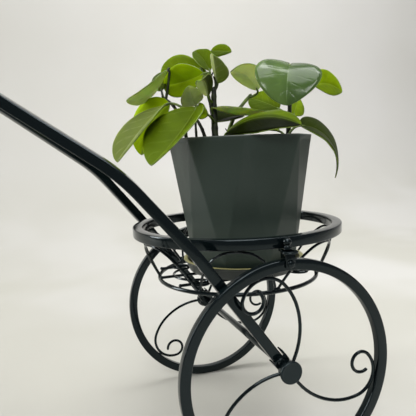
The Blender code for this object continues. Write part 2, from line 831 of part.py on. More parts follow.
def add_fork(head_low, pivot):
    """An upside-down U of square tube astride the wheel, with its steering column welded on."""
    lean = math.cos(math.radians(rake))
    crown = (crown_height - wheel_radius) / lean
    head_foot = (head_low - wheel_radius) / lean
    corners = [
        (0.0, -fork_spread, -fork_drop),
        (0.0, -fork_spread, crown),
        (0.0, fork_spread, crown),
        (0.0, fork_spread, -fork_drop),
    ]
    place = steering_place(wheel_radius)
    legs = square_tube("fork", fillet(corners, fork_bend, bend_steps), place, pivot, "MINIMUM")
    top = head_foot + head_length + stem_above
    profile = column_profile(crown, head_foot - gap - collar_height, top)
    weld(legs, [turned("steering_column", profile, black_paint, place, pivot)])
    reach = fork_spread - tube / 2.0 - gap
    turned(
        "front_axle",
        cylinder_profile(front_axle_radius, 2.0 * reach, tube_round / 4.0),
        black_paint,
        along_y(front_x, reach, wheel_radius),
        pivot,
    )
    outer = fork_spread + tube / 2.0 + gap
    cap = dome_profile(axle_cap_radius, axle_cap_height)
    for label, side in (("left", -1.0), ("right", 1.0)):
        spot = facing(side, front_x, side * outer, wheel_radius)
        turned(f"front_axle_cap_{label}", cap, black_plastic, spot, pivot, bolt_steps)


def bar_corners(height):
    """The handlebar's centre line, from its left end to its right end."""
    centre = head_point(height)
    path = [
        (bar_sweep, 1.0, -bar_rise),
        (bar_sweep * bar_elbow_sweep_share, bar_elbow_share, bar_rise / 2.0),
        (0.0, bar_shoulder_share, bar_rise),
    ]
    left = [centre + Vector((back, -bar_half_width * share, up)) for back, share, up in path]
    right = [centre + Vector((back, bar_half_width * share, up)) for back, share, up in reversed(path)]
    flat_end = bar_clamp_length / 2.0 + bar_radius
    middle = [centre + Vector((0.0, -flat_end, 0.0)), centre + Vector((0.0, flat_end, 0.0))]
    return left + middle + right


def add_handlebar(seat_height, pivot):
    """A swept bar with a clamp boss in its middle and a grip on each end."""
    axis_height = seat_height + bar_clamp_radius * math.cos(math.radians(rake))
    centre = head_point(axis_height)
    corners = bar_corners(axis_height)
    wire = rod_curve("handlebar", fillet(corners, bar_bend, bar_bend_steps), bar_radius)
    bar = add_object("handlebar", wire, black_paint, None, pivot)
    clamp = turned(
        "bar_clamp",
        cylinder_profile(bar_clamp_radius, bar_clamp_length, tube_round / 2.0),
        black_paint,
        along_y(centre.x, bar_clamp_length / 2.0, centre.z),
        pivot,
    )
    weld(bar, [clamp])
    for label, end, inner in (("left", corners[0], corners[1]), ("right", corners[-1], corners[-2])):
        out = (end - inner).normalized()
        start = end + out * (grip_end_wall + gap - grip_length)
        turn = out.to_track_quat("Z", "Y").to_matrix().to_4x4()
        spot = Matrix.Translation(start) @ turn
        turned(f"grip_{label}", grip_profile(), black_plastic, spot, pivot, grip_steps)


def grip_profile():
    """A hand grip, open at its inner end, with soft ribs."""
    bore = bar_radius + gap
    depth = grip_length - grip_end_wall
    points = [
        (0.0, grip_length),
        (grip_radius * grip_end_share, grip_length),
        (grip_radius, grip_length * grip_shoulder_share),
    ]
    for number in range(grip_ribs * 2, 0, -1):
        radius = grip_radius - (grip_rib_depth if number % 2 else 0.0)
        points.append((radius, grip_length * number / (2 * grip_ribs + 1)))
    points += [(grip_radius, 0.0), (bore, 0.0), (bore, depth), (0.0, depth)]
    return tuple(points)


def pot_corners(radius, height, shift):
    """Eight corners about the pot's axis, turned by this share of a side."""
    pitch = 360.0 / pot_sides
    corners = []
    for number in range(pot_sides):
        angle = math.radians(pot_bearing + pitch * (number + shift))
        corners.append(Vector((pot_x + radius * math.cos(angle), radius * math.sin(angle), height)))
    return corners


def pot_section(height, inset):
    """The pot's outline at this height, drawn in by this much: points on its slanting edges."""
    share = (height - pot_base_height) / (pot_top_height - pot_base_height)
    top = pot_corners(pot_top_radius - inset, height, 0.0)
    base = pot_corners(pot_base_radius - inset, height, 0.5)
    points = []
    for number in range(pot_sides):
        for corner in (top[number], top[(number + 1) % pot_sides]):
            points.append(base[number].lerp(corner, share))
    return points


def add_pot(pivot):
    """The faceted pot: an open shell of sixteen triangles, with a plain eight-sided foot."""
    bm = bmesh.new()
    top = [bm.verts.new(point) for point in pot_corners(pot_top_radius, pot_top_height, 0.0)]
    base = [bm.verts.new(point) for point in pot_corners(pot_base_radius, pot_base_height, 0.5)]
    foot = [bm.verts.new(point) for point in pot_corners(pot_foot_radius, pot_floor, 0.5)]
    for number in range(pot_sides):
        following = (number + 1) % pot_sides
        bm.faces.new((top[number], base[number], top[following]))
        bm.faces.new((base[number], base[following], top[following]))
        bm.faces.new((base[number], foot[number], foot[following], base[following]))
    bm.faces.new(list(reversed(foot)))
    bmesh.ops.recalc_face_normals(bm, faces=bm.faces)
    made = add_object("pot", mesh_from(bm, "pot"), pot_plastic, None, pivot)
    wall = made.modifiers.new("Wall", "SOLIDIFY")
    wall.thickness = pot_wall
    wall.offset = -1.0
    for number in range(drain_count):
        angle = math.radians(360.0 / drain_count * (number + 0.5))
        away = Vector((math.cos(angle), math.sin(angle), 0.0)) * drain_circle
        bpy.ops.mesh.primitive_cylinder_add(
            vertices=bolt_steps,
            radius=drain_radius,
            depth=2.0 * (pot_wall + overrun),
            location=Vector((pot_x, 0.0, pot_floor)) + away,
        )
        cutter = bpy.context.active_object
        cutter.name = f"drain_cutter_{number + 1}"
        hide_cutter(cutter)
        drain = made.modifiers.new("Drain", "BOOLEAN")
        drain.operation = "DIFFERENCE"
        drain.object = cutter


def add_soil(pivot):
    """A plug of soil that fills the pot's section a little below its rim."""
    high = pot_top_height - soil_below_rim
    inset = pot_wall + soil_clearance
    bm = bmesh.new()
    upper = [bm.verts.new(point) for point in pot_section(high, inset)]
    lower = [bm.verts.new(point) for point in pot_section(high - soil_depth, inset)]
    bm.faces.new(upper)
    bm.faces.new(list(reversed(lower)))
    count = len(upper)
    for number in range(count):
        following = (number + 1) % count
        bm.faces.new((upper[number], lower[number], lower[following], upper[following]))
    bmesh.ops.recalc_face_normals(bm, faces=bm.faces)
    add_object("soil", mesh_from(bm, "soil"), soil_brown, None, pivot)


def add_saucer():
    """A round dish with a flared side and a small flat rim, on the basket's floor."""
    place = Matrix.Translation((pot_x, 0.0, saucer_seat_height))
    pivot = add_empty("saucer_seat", place)
    profile = (
        (0.0, saucer_wall),
        (saucer_base_radius - saucer_wall, saucer_wall),
        (saucer_top_radius - 2.0 * saucer_wall, saucer_height),
        (saucer_top_radius, saucer_height),
        (saucer_top_radius, saucer_height - saucer_wall / 2.0),
        (saucer_top_radius - saucer_wall, saucer_height - saucer_wall),
        (saucer_base_radius, saucer_wall / 2.0),
        (saucer_base_radius - saucer_wall / 2.0, 0.0),
        (0.0, 0.0),
    )
    turned("saucer", profile, saucer_plastic, place, pivot, saucer_steps)


def plant_point(shares):
    """A place in the plant, from shares of its height about the pot's axis and above the soil."""
    soil_top = pot_top_height - soil_below_rim
    return Vector((pot_x, 0.0, soil_top)) + Vector(shares) * plant_height


def lofted(name, rings, tip, material, pivot):
    """A closed solid through rings of equal counts, flat at its foot and drawn to a tip."""
    bm = bmesh.new()
    loops = [[bm.verts.new(point) for point in ring] for ring in rings]
    bm.faces.new(list(reversed(loops[0])))
    for first, second in zip(loops, loops[1:]):
        for number in range(leaf_sides):
            following = (number + 1) % leaf_sides
            bm.faces.new((first[number], first[following], second[following], second[number]))
    end = bm.verts.new(tip)
    for number in range(leaf_sides):
        bm.faces.new((loops[-1][number], loops[-1][(number + 1) % leaf_sides], end))
    bmesh.ops.recalc_face_normals(bm, faces=bm.faces)
    data = mesh_from(bm, name)
    data.shade_smooth()
    return add_object(name, data, material, None, pivot)


def oval(centre, side, up, half_width, half_height, fold=0.0):
    """A flat oval ring whose two wings rise by the fold."""
    slope = math.tan(math.radians(fold))
    points = []
    for number in range(leaf_sides):
        angle = math.radians(180.0 - 360.0 / leaf_sides * number)
        across = half_width * math.cos(angle)
        rise = half_height * math.sin(angle) + abs(across) * slope
        points.append(centre + side * across + up * rise)
    return points


def blade_shape(share):
    """Half width of a blade along its length: broad before the middle and blunt at the tip."""
    return math.sin(math.pi * share**blade_lean) ** blade_fullness


def leaf_solid(name, joint, leaf, pivot):
    """A stalk that leaves its stem at the joint and widens into a folded, drooping blade."""
    foot, heading, pitch, droop, roll, length, width, fold = leaf
    foot = plant_point(foot)
    length *= leaf_length
    width *= leaf_half_width * math.cos(math.radians(fold))
    turn = math.radians(heading)
    level = Vector((-math.sin(turn), math.cos(turn), 0.0))

    def along(share):
        angle = math.radians(pitch - droop * share)
        flat = math.cos(angle)
        return Vector((math.cos(turn) * flat, math.sin(turn) * flat, math.sin(angle)))

    def frame(ahead):
        up = ahead.cross(level)
        side = level * math.cos(math.radians(roll)) + up * math.sin(math.radians(roll))
        side = (side - ahead * side.dot(ahead)).normalized()
        return side, ahead.cross(side)

    rings = []
    bend = foot - along(0.0) * (foot - joint).length * stalk_bend_share
    for step in range(stalk_sections):
        share = step / stalk_sections
        centre = joint.lerp(bend, share).lerp(bend.lerp(foot, share), share)
        ahead = (joint.lerp(bend, share) - bend.lerp(foot, share)).normalized() * -1.0
        side, up = frame(along(0.0))
        side = (side - ahead * side.dot(ahead)).normalized()
        rings.append(oval(centre, side, ahead.cross(side), stalk_radius, stalk_radius))
    centre = foot
    before = 0.0
    for number, share in enumerate((*blade_sections, 1.0)):
        centre = centre + along((before + share) / 2.0) * length * (share - before)
        before = share
        side, up = frame(along(share))
        half_width = max(stalk_radius, width * blade_shape(share))
        half_height = leaf_thickness / 2.0
        if number < len(thickest_shares):
            half_height = stalk_radius * thickest_shares[number]
        slant = fold if number else 0.0
        if share < 1.0:
            rings.append(oval(centre, side, up, half_width, half_height, slant))
    return lofted(name, rings, centre, leaf_green, pivot)


def add_plant(pivot):
    """Each shoot is a stem with its leaves grown onto it as one solid."""
    for label, radius_share, shares in stem_shares:
        radius = shoot_radius * radius_share
        path = [plant_point(share) for share in shares]
        path[0].z += gap
        rings = []
        for number, centre in enumerate(path):
            behind = path[max(number - 1, 0)]
            ahead = (path[min(number + 1, len(path) - 1)] - behind).normalized()
            side = Vector((0.0, 1.0, 0.0))
            side = (side - ahead * side.dot(ahead)).normalized()
            taper = 1.0 - stem_taper_share * number / (len(path) - 1)
            rings.append(oval(centre, side, ahead.cross(side), radius * taper, radius * taper))
        rings[0] = [Vector((point.x, point.y, path[0].z)) for point in rings[0]]
        tip = path[-1] + (path[-1] - path[-2]).normalized() * radius
        shoot = lofted(f"shoot_{label}", rings, tip, stem_brown, pivot)
        grown = []
        for leaf in leaf_shares:
            if leaf[0] != label:
                continue
            place = leaf[1] * (len(path) - 1)
            lower = min(int(place), len(path) - 2)
            joint = path[lower].lerp(path[lower + 1], place - lower)
            name = f"leaf_{label}_{len(grown) + 1}"
            grown.append(leaf_solid(name, joint, leaf[2:], pivot))
        weld(shoot, grown)


add_rear_end()
add_basket()
add_basket_floor()
add_front_end()
add_saucer()
pot_seat = add_empty("pot_seat", Matrix.Translation((pot_x, 0.0, pot_floor)))
add_pot(pot_seat)
add_soil(pot_seat)
add_plant(pot_seat)
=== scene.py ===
# %% [markdown]
# # A tricycle plant stand with a faceted pot
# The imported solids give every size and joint. This lesson dresses them: it paints the metal,
# and stands finer pieces in the place of the solids where a camera would notice the facets.

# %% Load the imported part
import json
import math
import random

import bmesh
import bpy
from mathutils import Matrix, Vector, noise


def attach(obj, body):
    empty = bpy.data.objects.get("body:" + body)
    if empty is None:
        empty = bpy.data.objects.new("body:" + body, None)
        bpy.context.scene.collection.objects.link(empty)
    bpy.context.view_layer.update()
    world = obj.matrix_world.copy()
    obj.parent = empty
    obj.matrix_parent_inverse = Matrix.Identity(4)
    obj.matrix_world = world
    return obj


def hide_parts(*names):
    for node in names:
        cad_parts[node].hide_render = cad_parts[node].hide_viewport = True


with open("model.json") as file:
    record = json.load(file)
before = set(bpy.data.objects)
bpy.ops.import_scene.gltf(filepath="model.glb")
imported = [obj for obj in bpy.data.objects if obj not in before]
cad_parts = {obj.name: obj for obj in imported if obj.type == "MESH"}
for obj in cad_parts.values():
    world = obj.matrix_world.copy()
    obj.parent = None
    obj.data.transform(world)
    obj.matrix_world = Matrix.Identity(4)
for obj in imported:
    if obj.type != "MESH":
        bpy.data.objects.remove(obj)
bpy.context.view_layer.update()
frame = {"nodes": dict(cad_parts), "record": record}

# %% [markdown]
# ## Camera
# The photograph was taken close to the left rear wheel, a little above the pot's rim, so the
# near wheel looks much larger than the far one. Its place and turns were worked out from the
# wheels and the ring. The lens follows from the focal length in pixels of a 416 pixel picture.

# %% Camera
picture_pixels = 416
focal_pixels = 491.43
sensor_width = 36.0
nearest_seen = 0.01
view_place = Vector((-0.032336, -0.485819, 0.29805))
view_yaw, view_pitch, view_roll = (math.radians(turn) for turn in (18.613, 6.855, -2.121))


def camera_matrix(place, yaw, pitch, roll):
    """Looks along +Y, turned right by the yaw, down by the pitch and over by the roll."""
    flat = math.cos(pitch)
    ahead = Vector((math.sin(yaw) * flat, math.cos(yaw) * flat, -math.sin(pitch)))
    level = Vector((math.cos(yaw), -math.sin(yaw), 0.0))
    upright = level.cross(ahead)
    right = level * math.cos(roll) + upright * math.sin(roll)
    up = upright * math.cos(roll) - level * math.sin(roll)
    return Matrix.Translation(place) @ Matrix((right, up, -ahead)).transposed().to_4x4()


lens = bpy.data.cameras.new("camera")
lens.sensor_width = sensor_width
lens.lens = sensor_width * focal_pixels / picture_pixels
lens.clip_start = nearest_seen
camera = bpy.data.objects.new("camera", lens)
bpy.context.scene.collection.objects.link(camera)
camera.matrix_world = camera_matrix(view_place, view_yaw, view_pitch, view_roll)
bpy.context.scene.camera = camera
bpy.context.scene.view_settings.view_transform = "Standard"
print("lens:", round(lens.lens, 2), "mm")

# %% [markdown]
# ## Shader maths
# Node graphs are easier to read as arithmetic, so one small class stands for an output socket
# and overloads the operators. Every other node comes from one method of the material's class.

# %% A socket that does arithmetic
class Level:
    """A number that varies over the surface: the output of a shader node."""

    def __init__(self, finish, output):
        self.finish = finish
        self.output = output

    def _maths(self, operation, *values):
        return self.finish.node("Math", {"operation": operation}, dict(enumerate(values)))

    def __add__(self, other):
        return self._maths("ADD", self, other)

    def __sub__(self, other):
        return self._maths("SUBTRACT", self, other)

    def __rsub__(self, other):
        return self._maths("SUBTRACT", other, self)

    def __mul__(self, other):
        return self._maths("MULTIPLY", self, other)

    __radd__ = __add__
    __rmul__ = __mul__

    def absolute(self):
        return self._maths("ABSOLUTE", self)

    def fraction(self):
        return self._maths("FRACT", self)

    def ease(self, low, high):
        """0 below the low level, 1 above the high one and smooth between them."""
        settings = {"interpolation_type": "SMOOTHSTEP"}
        values = {"Value": self, "From Min": low, "From Max": high}
        return self.finish.node("MapRange", settings, values)


print("shader sums:", Level.__name__)

# %% A material and its nodes
class Finish:
    """One material: its nodes, and the few sockets of its shader that this part feeds."""

    def __init__(self, name):
        self.material = bpy.data.materials.new(name)
        self.material.use_nodes = True
        self.tree = self.material.node_tree
        self.shader = self.tree.nodes["Principled BSDF"]

    def node(self, kind, settings=None, values=None, output=0):
        """Adds a node, makes its settings, and then feeds its sockets."""
        made = self.tree.nodes.new("ShaderNode" + kind)
        for name, value in (settings or {}).items():
            setattr(made, name, value)
        for name, value in (values or {}).items():
            self.feed(made.inputs[name], value)
        return Level(self, made.outputs[output])

    def feed(self, socket, value):
        if isinstance(value, Level):
            self.tree.links.new(value.output, socket)
        elif isinstance(value, (tuple, Vector)) and len(value) == 3 and socket.type == "RGBA":
            socket.default_value = (*value, 1.0)
        else:
            socket.default_value = value

    def set(self, **values):
        for name, value in values.items():
            self.feed(self.shader.inputs[name.replace("_", " ")], value)

    def place(self):
        return self.node("TexCoord", output="Object")

    def part(self, vector, number):
        """One of the three numbers in a vector."""
        return self.node("SeparateXYZ", None, {0: vector}, number)

    def height(self):
        return self.part(self.place(), 2)

    def upward(self):
        """1 where the surface faces up and -1 where it faces down."""
        return self.part(self.node("NewGeometry", output="Normal"), 2)

    def cloud(self, scale, detail):
        """Soft noise; the scale is its blotches to the metre."""
        values = {"Vector": self.place(), "Scale": scale, "Detail": detail}
        return self.node("TexNoise", None, values)

    def mix(self, share, low, high):
        """A colour between two, by a share that varies."""
        return self.node("Mix", {"data_type": "RGBA"}, {0: share, 6: low, 7: high}, 2)

    def bump(self, height, strength, distance):
        values = {"Height": height, "Strength": strength, "Distance": distance}
        return self.node("Bump", None, values)


print("nodes are made by:", Finish.__name__)

# %% [markdown]
# ## Paint, plastic and soil
# The frame is sprayed gloss black. Real paint is never one flat colour: it has a faint orange
# peel, cloudy gloss and a little dust on what faces up. Clouds of noise on the object's own
# coordinates give all three, so they stay in place when a part turns.

# %% Black paint and black plastic
wet_black = (0.0026, 0.0052, 0.0060)
dull_black = (0.0060, 0.0105, 0.0118)
pale_dust = (0.030, 0.034, 0.033)
cool_shine = (0.80, 0.96, 1.0)
peel_depth = 0.00006


def black_finish(name, deep, gloss, peel_scale):
    """Black with cloudy gloss, a fine peel, and dust on what faces up."""
    finish = Finish(name)
    patches = finish.cloud(38.0, 4.0)
    dust = finish.upward().ease(0.70, 1.0) * patches.ease(0.45, 0.75)
    finish.set(Base_Color=finish.mix(dust * 0.22, deep, pale_dust))
    finish.set(Roughness=patches * 0.10 + dust * 0.06 + (gloss - 0.05))
    finish.set(Normal=finish.bump(finish.cloud(peel_scale, 2.0), 0.30, peel_depth))
    finish.set(Specular_IOR_Level=0.36, Specular_Tint=cool_shine)
    return finish.material


gloss_black = black_finish("gloss_black", wet_black, 0.11, 700.0)
satin_black = black_finish("satin_black", dull_black, 0.28, 1600.0)
print("paint:", gloss_black.name, satin_black.name)

# %% [markdown]
# ### Moulded plastic and soil
# Moulded plastic is matt with a fine grain from the mould's steel. The pot's lip and the
# saucer's rim are painted paler as highlights. The height alone finds the lip and the saucer's
# floor, so nothing has to be unwrapped. Soil has no pattern, so two sizes of noise make its
# crumbs and its drier clods.

# %% Pot, saucer and soil
# Heights of the pale band painted along the pot's lip as a highlight
lip_highlight_heights = (0.3080, 0.3090)
saucer_floor_heights = (0.1700, 0.1760)
# Heights of the saucer's rim, whose top is painted pale as a highlight
saucer_rim_highlight_heights = (0.1790, 0.1800)
mould_grain_depth = 0.00010
soil_grain_depth = 0.0012


def pot_finish():
    """Grey-green plastic with faint clouds and specks, and a pale painted highlight along its lip.
    """
    dark, light = (0.023, 0.037, 0.028), (0.032, 0.048, 0.039)
    painted_lip_highlight, specked = (0.16, 0.18, 0.16), (0.09, 0.105, 0.09)
    finish = Finish("pot_grey")
    tone = finish.cloud(16.0, 4.0)
    speck = finish.cloud(900.0, 2.0)
    colour = finish.mix(tone.ease(0.3, 0.7), dark, light)
    # A pale band along the lip is a painted highlight.
    colour = finish.mix(finish.height().ease(*lip_highlight_heights) * 0.5, colour, painted_lip_highlight)
    finish.set(Base_Color=finish.mix(speck.ease(0.62, 0.80) * 0.25, colour, specked))
    finish.set(Roughness=tone * 0.10 + 0.40, Specular_IOR_Level=0.36)
    finish.set(Normal=finish.bump(speck, 0.25, mould_grain_depth))
    return finish.material


def saucer_finish():
    """Grey outside and olive inside, with a pale painted highlight on the rim's upward-facing top.
    """
    grey, olive, rim_highlight_olive = (0.022, 0.030, 0.026), (0.11, 0.11, 0.05), (0.46, 0.43, 0.17)
    finish = Finish("saucer_grey")
    tone = finish.cloud(30.0, 3.0)
    height = finish.height()
    upward = finish.upward()
    inside = upward.ease(-0.05, 0.35) * height.ease(*saucer_floor_heights)
    # The rim's upward-facing top gets a pale painted highlight.
    rim = upward.ease(0.75, 0.97) * height.ease(*saucer_rim_highlight_heights)
    finish.set(Base_Color=finish.mix(rim, finish.mix(inside, grey, olive), rim_highlight_olive))
    finish.set(Roughness=tone * 0.2 + 0.35)
    finish.set(Normal=finish.bump(finish.cloud(1100.0, 2.0), 0.2, mould_grain_depth))
    return finish.material


def soil_finish():
    """Dark peat with paler crumbs and drier clods."""
    peat, crumb, clod_brown = (0.010, 0.007, 0.005), (0.050, 0.033, 0.022), (0.10, 0.075, 0.05)
    finish = Finish("potting_soil")
    grain = finish.cloud(420.0, 5.0)
    clod = finish.cloud(90.0, 4.0)
    dark = finish.mix(grain.ease(0.35, 0.65), peat, crumb)
    finish.set(Base_Color=finish.mix(clod.ease(0.60, 0.75) * 0.5, dark, clod_brown))
    finish.set(Roughness=grain * 0.2 + 0.75)
    finish.set(Normal=finish.bump(grain, 0.9, soil_grain_depth))
    return finish.material


pot_grey = pot_finish()
saucer_grey = saucer_finish()
potting_soil = soil_finish()
print("finishes:", pot_grey.name, saucer_grey.name, potting_soil.name)

# %% [markdown]
# ## Leaves
# The plant is a peperomia-like houseplant with fleshy, waxy leaves. Their upper sides are
# smooth and shiny, their undersides matt and greyer, and light glows through the young ones.
# Each half of a blade carries one level as an attribute that mixes youth with painted light:
# near 1 the half is young and yellow and painted bright as if lit, and below 0 it is painted in
# deep shade. The UV map runs from foot to tip and from edge to edge, so the midrib and the side
# veins follow the blade's shape.

# %% Leaf finishes
vein_count = 5.5
vein_slant = 1.5
vein_wander = 1.1
vein_half_width = 0.16
shade_share = 0.08
quilt_depth = 0.0010
glow_reach = Vector((0.8, 1.0, 0.10))
glow_scale = 0.0025
stem_grain_depth = 0.0004


def darker(colour, share):
    """This share of a colour's light."""
    return tuple(level * share for level in colour)


def leaf_finish(name, deep, young, vein, gloss, shine, vein_lift, glow):
    """A blade's skin: aged by its level of youth and painted light, then veined, edged, and painted
    in shade below zero.
    """
    finish = Finish(name)
    uv = finish.node("UVMap", {"uv_map": "blade"})
    along = finish.part(uv, 0)
    across = (finish.part(uv, 1) * 2.0 - 1.0).absolute()
    # This level mixes youth with painted light: bright where a half is painted as lit, painted
    # shade below zero.
    youth_and_painted_light = finish.node("Attribute", {"attribute_name": "youth_and_painted_light"}, None, "Fac")
    drift = finish.cloud(45.0, 3.0)
    mottle = finish.cloud(120.0, 4.0)
    midrib = 1.0 - across.ease(0.0, 0.05)
    ribs = (along * vein_count - across * vein_slant + drift * vein_wander).fraction()
    ridge = 1.0 - (ribs - 0.5).absolute().ease(0.0, vein_half_width)
    inner = across.ease(0.03, 0.15) * (1.0 - across.ease(0.60, 0.95))
    veins = ridge * inner * mottle.ease(0.30, 0.60)
    aged = finish.mix(youth_and_painted_light, deep, young)
    clouded = finish.mix(drift.ease(0.35, 0.70) * 0.35, aged, darker(deep, 0.7))
    lined = finish.mix(midrib * 0.35 + veins * 0.10, clouded, vein)
    edged = finish.mix(across.ease(0.93, 1.0) * 0.30, lined, young)
    # Below zero the level paints the half in deep shade.
    finish.set(Base_Color=finish.mix(youth_and_painted_light * -1.0, edged, darker(deep, shade_share)))
    finish.set(Roughness=mottle * 0.16 + (gloss - 0.08))
    quilt = veins * -0.30 + midrib * vein_lift + drift * 0.8 + finish.cloud(900.0, 2.0) * 0.06
    finish.set(Normal=finish.bump(quilt, 0.35, quilt_depth))
    finish.set(Specular_IOR_Level=shine, Subsurface_Weight=glow)
    finish.set(Subsurface_Radius=glow_reach, Subsurface_Scale=glow_scale)
    return finish.material


# The young ends of these colours are pale enough to paint the light that falls on a leaf or shines
# through it.
upper_colours = ((0.064, 0.105, 0.004), (0.34, 0.50, 0.003), (0.30, 0.40, 0.07))
under_colours = ((0.170, 0.220, 0.050), (0.76, 0.81, 0.40), (0.70, 0.74, 0.45))
old_colours = ((0.050, 0.098, 0.022), (0.24, 0.38, 0.10), (0.15, 0.24, 0.08))
leaf_upper = leaf_finish("leaf_upper", *upper_colours, 0.40, 0.02, -0.5, 0.30)
leaf_under = leaf_finish("leaf_under", *under_colours, 0.55, 0.02, 0.9, 0.65)
leaf_old = leaf_finish("leaf_old", *old_colours, 0.16, 0.34, -0.5, 0.15)


def rim_finish():
    """The cut edge of a blade, a little paler than its skin."""
    finish = Finish("leaf_rim")
    tone = finish.cloud(200.0, 2.0)
    finish.set(Base_Color=finish.mix(tone.ease(0.3, 0.7), (0.10, 0.17, 0.010), (0.22, 0.30, 0.04)))
    finish.set(Roughness=0.35)
    return finish.material


def stem_finish(name, dark, green, gloss):
    """Streaks of bark or of green skin."""
    finish = Finish(name)
    streak = finish.cloud(150.0, 5.0)
    finish.set(Base_Color=finish.mix(streak.ease(0.38, 0.66), dark, green))
    finish.set(Roughness=streak * 0.2 + gloss)
    finish.set(Normal=finish.bump(finish.cloud(500.0, 4.0), 0.5, stem_grain_depth))
    return finish.material


leaf_rim = rim_finish()
stem_bark = stem_finish("stem_bark", (0.006, 0.008, 0.004), (0.030, 0.042, 0.010), 0.40)
stalk_green = stem_finish("stalk_green", (0.060, 0.100, 0.012), (0.16, 0.24, 0.03), 0.32)
print("leaf finishes:", leaf_upper.name, leaf_under.name, leaf_rim.name)

# %% [markdown]
# ## Making pieces
# A few helpers make nearly everything: a profile spun about an axis, a wire or tube swept along
# points, and one that links a finished mesh in the place of a solid and lets it ride on a body.

# %% Link a finished piece
slot_finish = {
    "black_paint": gloss_black,
    "black_plastic": satin_black,
    "pot_plastic": pot_grey,
    "saucer_plastic": saucer_grey,
    "soil": potting_soil,
    "plant": leaf_upper,
}


def linked(name, bm, finishes):
    """A smooth mesh object of this bmesh; its place is in its mesh."""
    mesh = bpy.data.meshes.new(name)
    bm.to_mesh(mesh)
    bm.free()
    mesh.shade_smooth()
    for finish in finishes:
        mesh.materials.append(finish)
    made = bpy.data.objects.new(name, mesh)
    bpy.context.scene.collection.objects.link(made)
    return made


def piece(name, bm, body, finishes, sharp=35.0):
    """A finished piece that moves with this body."""
    made = linked(name, bm, finishes)
    made.data.set_sharp_from_angle(angle=math.radians(sharp))
    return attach(made, body)


def stand_in(name, bm, body, node, slot="black_paint", sharp=35.0):
    """A finer piece in the place of one solid, in the finish of its slot."""
    made = piece(name, bm, body, [slot_finish[slot]], sharp)
    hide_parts(node)
    return made


def evaluated(made):
    """Applies what modifiers the piece has, so its mesh is final."""
    graph = bpy.context.evaluated_depsgraph_get()
    mesh = bpy.data.meshes.new_from_object(made.evaluated_get(graph))
    made.modifiers.clear()
    made.data = mesh
    return made


def absorb(bm, others):
    """Moves the faces of the other bmeshes into this one."""
    for other in others:
        mesh = bpy.data.meshes.new("moved")
        other.to_mesh(mesh)
        other.free()
        bm.from_mesh(mesh)
        bpy.data.meshes.remove(mesh)
    return bm


print("slots with a finish:", len(slot_finish))

# %% Spin a profile
merge_distance = 1e-6
longest_corner_share = 0.45


def softened(points, radius, steps=3, closed=False):
    """The outline with its corners rounded, as casting or folding leaves them."""
    flat = [Vector(point) for point in points]
    count = len(flat)
    made = []
    for number, corner in enumerate(flat):
        if not closed and number in (0, count - 1):
            made.append(corner)
            continue
        back = flat[number - 1] - corner
        ahead = flat[(number + 1) % count] - corner
        longest = longest_corner_share * min(back.length, ahead.length)
        reach = min(radius, longest)
        start = corner + back.normalized() * reach
        end = corner + ahead.normalized() * reach
        for step in range(steps + 1):
            share = step / steps
            made.append(start.lerp(corner, share).lerp(corner.lerp(end, share), share))
    return made


def spun(profile, place, steps, closed=False):
    """A profile of radius and height turned once about its axis."""
    bm = bmesh.new()
    rows = [bm.verts.new((point[0], 0.0, point[1])) for point in profile]
    pairs = list(zip(rows, rows[1:]))
    if closed:
        pairs.append((rows[-1], rows[0]))
    edges = [bm.edges.new(pair) for pair in pairs]
    bmesh.ops.spin(
        bm,
        geom=rows + edges,
        cent=(0.0, 0.0, 0.0),
        axis=(0.0, 0.0, 1.0),
        angle=math.tau,
        steps=steps,
        use_merge=True,
        use_duplicate=False,
    )
    bmesh.ops.remove_doubles(bm, verts=bm.verts, dist=merge_distance)
    bmesh.ops.recalc_face_normals(bm, faces=bm.faces)
    bmesh.ops.transform(bm, matrix=place, verts=bm.verts)
    return bm


def barrel(bore, radius, length, softness, place, steps):
    """A softened cylinder up from local zero, or a sleeve where it has a bore."""
    outline = [(bore, length), (radius, length), (radius, 0.0), (bore, 0.0)]
    hollow = bore > 0.0
    return spun(softened(outline, softness, closed=hollow), place, steps, closed=hollow)


print("doubles merge within", merge_distance, "m")

# %% [markdown]
# ### Sweeps
# A curve with a bevel depth is a round wire, and one with a flat curve as its bevel object is
# a tube of that section. The sweep is made a mesh at once, so that it can be merged with other
# meshes and has its place in its own points.

# %% Sweep wires and square tube
def outline_curve(name, points):
    """A closed flat curve that a sweep can take as its section; it isn't rendered."""
    data = bpy.data.curves.new(name, "CURVE")
    data.dimensions = "2D"
    data.fill_mode = "NONE"
    spline = data.splines.new("POLY")
    spline.points.add(len(points) - 1)
    for spot, point in zip(spline.points, points):
        spot.co = (point[0], point[1], 0.0, 1.0)
    spline.use_cyclic_u = True
    guide = bpy.data.objects.new(name, data)
    bpy.context.scene.collection.objects.link(guide)
    guide.hide_render = True
    return guide


def swept(runs, outline=None, rounding=3, twist="MINIMUM"):
    """Wires along runs of (points, radii), or square tube where an outline is given."""
    data = bpy.data.curves.new("sweep", "CURVE")
    data.dimensions = "3D"
    data.twist_mode = twist
    data.use_fill_caps = True
    if outline is None:
        data.bevel_depth = 1.0
        data.bevel_resolution = rounding
    else:
        data.bevel_mode = "OBJECT"
        data.bevel_object = outline
    for points, radii in runs:
        if not isinstance(radii, (list, tuple)):
            radii = [radii] * len(points)
        spline = data.splines.new("POLY")
        spline.points.add(len(points) - 1)
        for spot, point, radius in zip(spline.points, points, radii):
            spot.co = (*point, 1.0)
            spot.radius = radius
    carrier = bpy.data.objects.new("sweep", data)
    bpy.context.scene.collection.objects.link(carrier)
    graph = bpy.context.evaluated_depsgraph_get()
    mesh = bpy.data.meshes.new_from_object(carrier.evaluated_get(graph))
    bpy.data.objects.remove(carrier)
    bm = bmesh.new()
    bm.from_mesh(mesh)
    bpy.data.meshes.remove(mesh)
    bmesh.ops.remove_doubles(bm, verts=bm.verts, dist=merge_distance)
    return bm


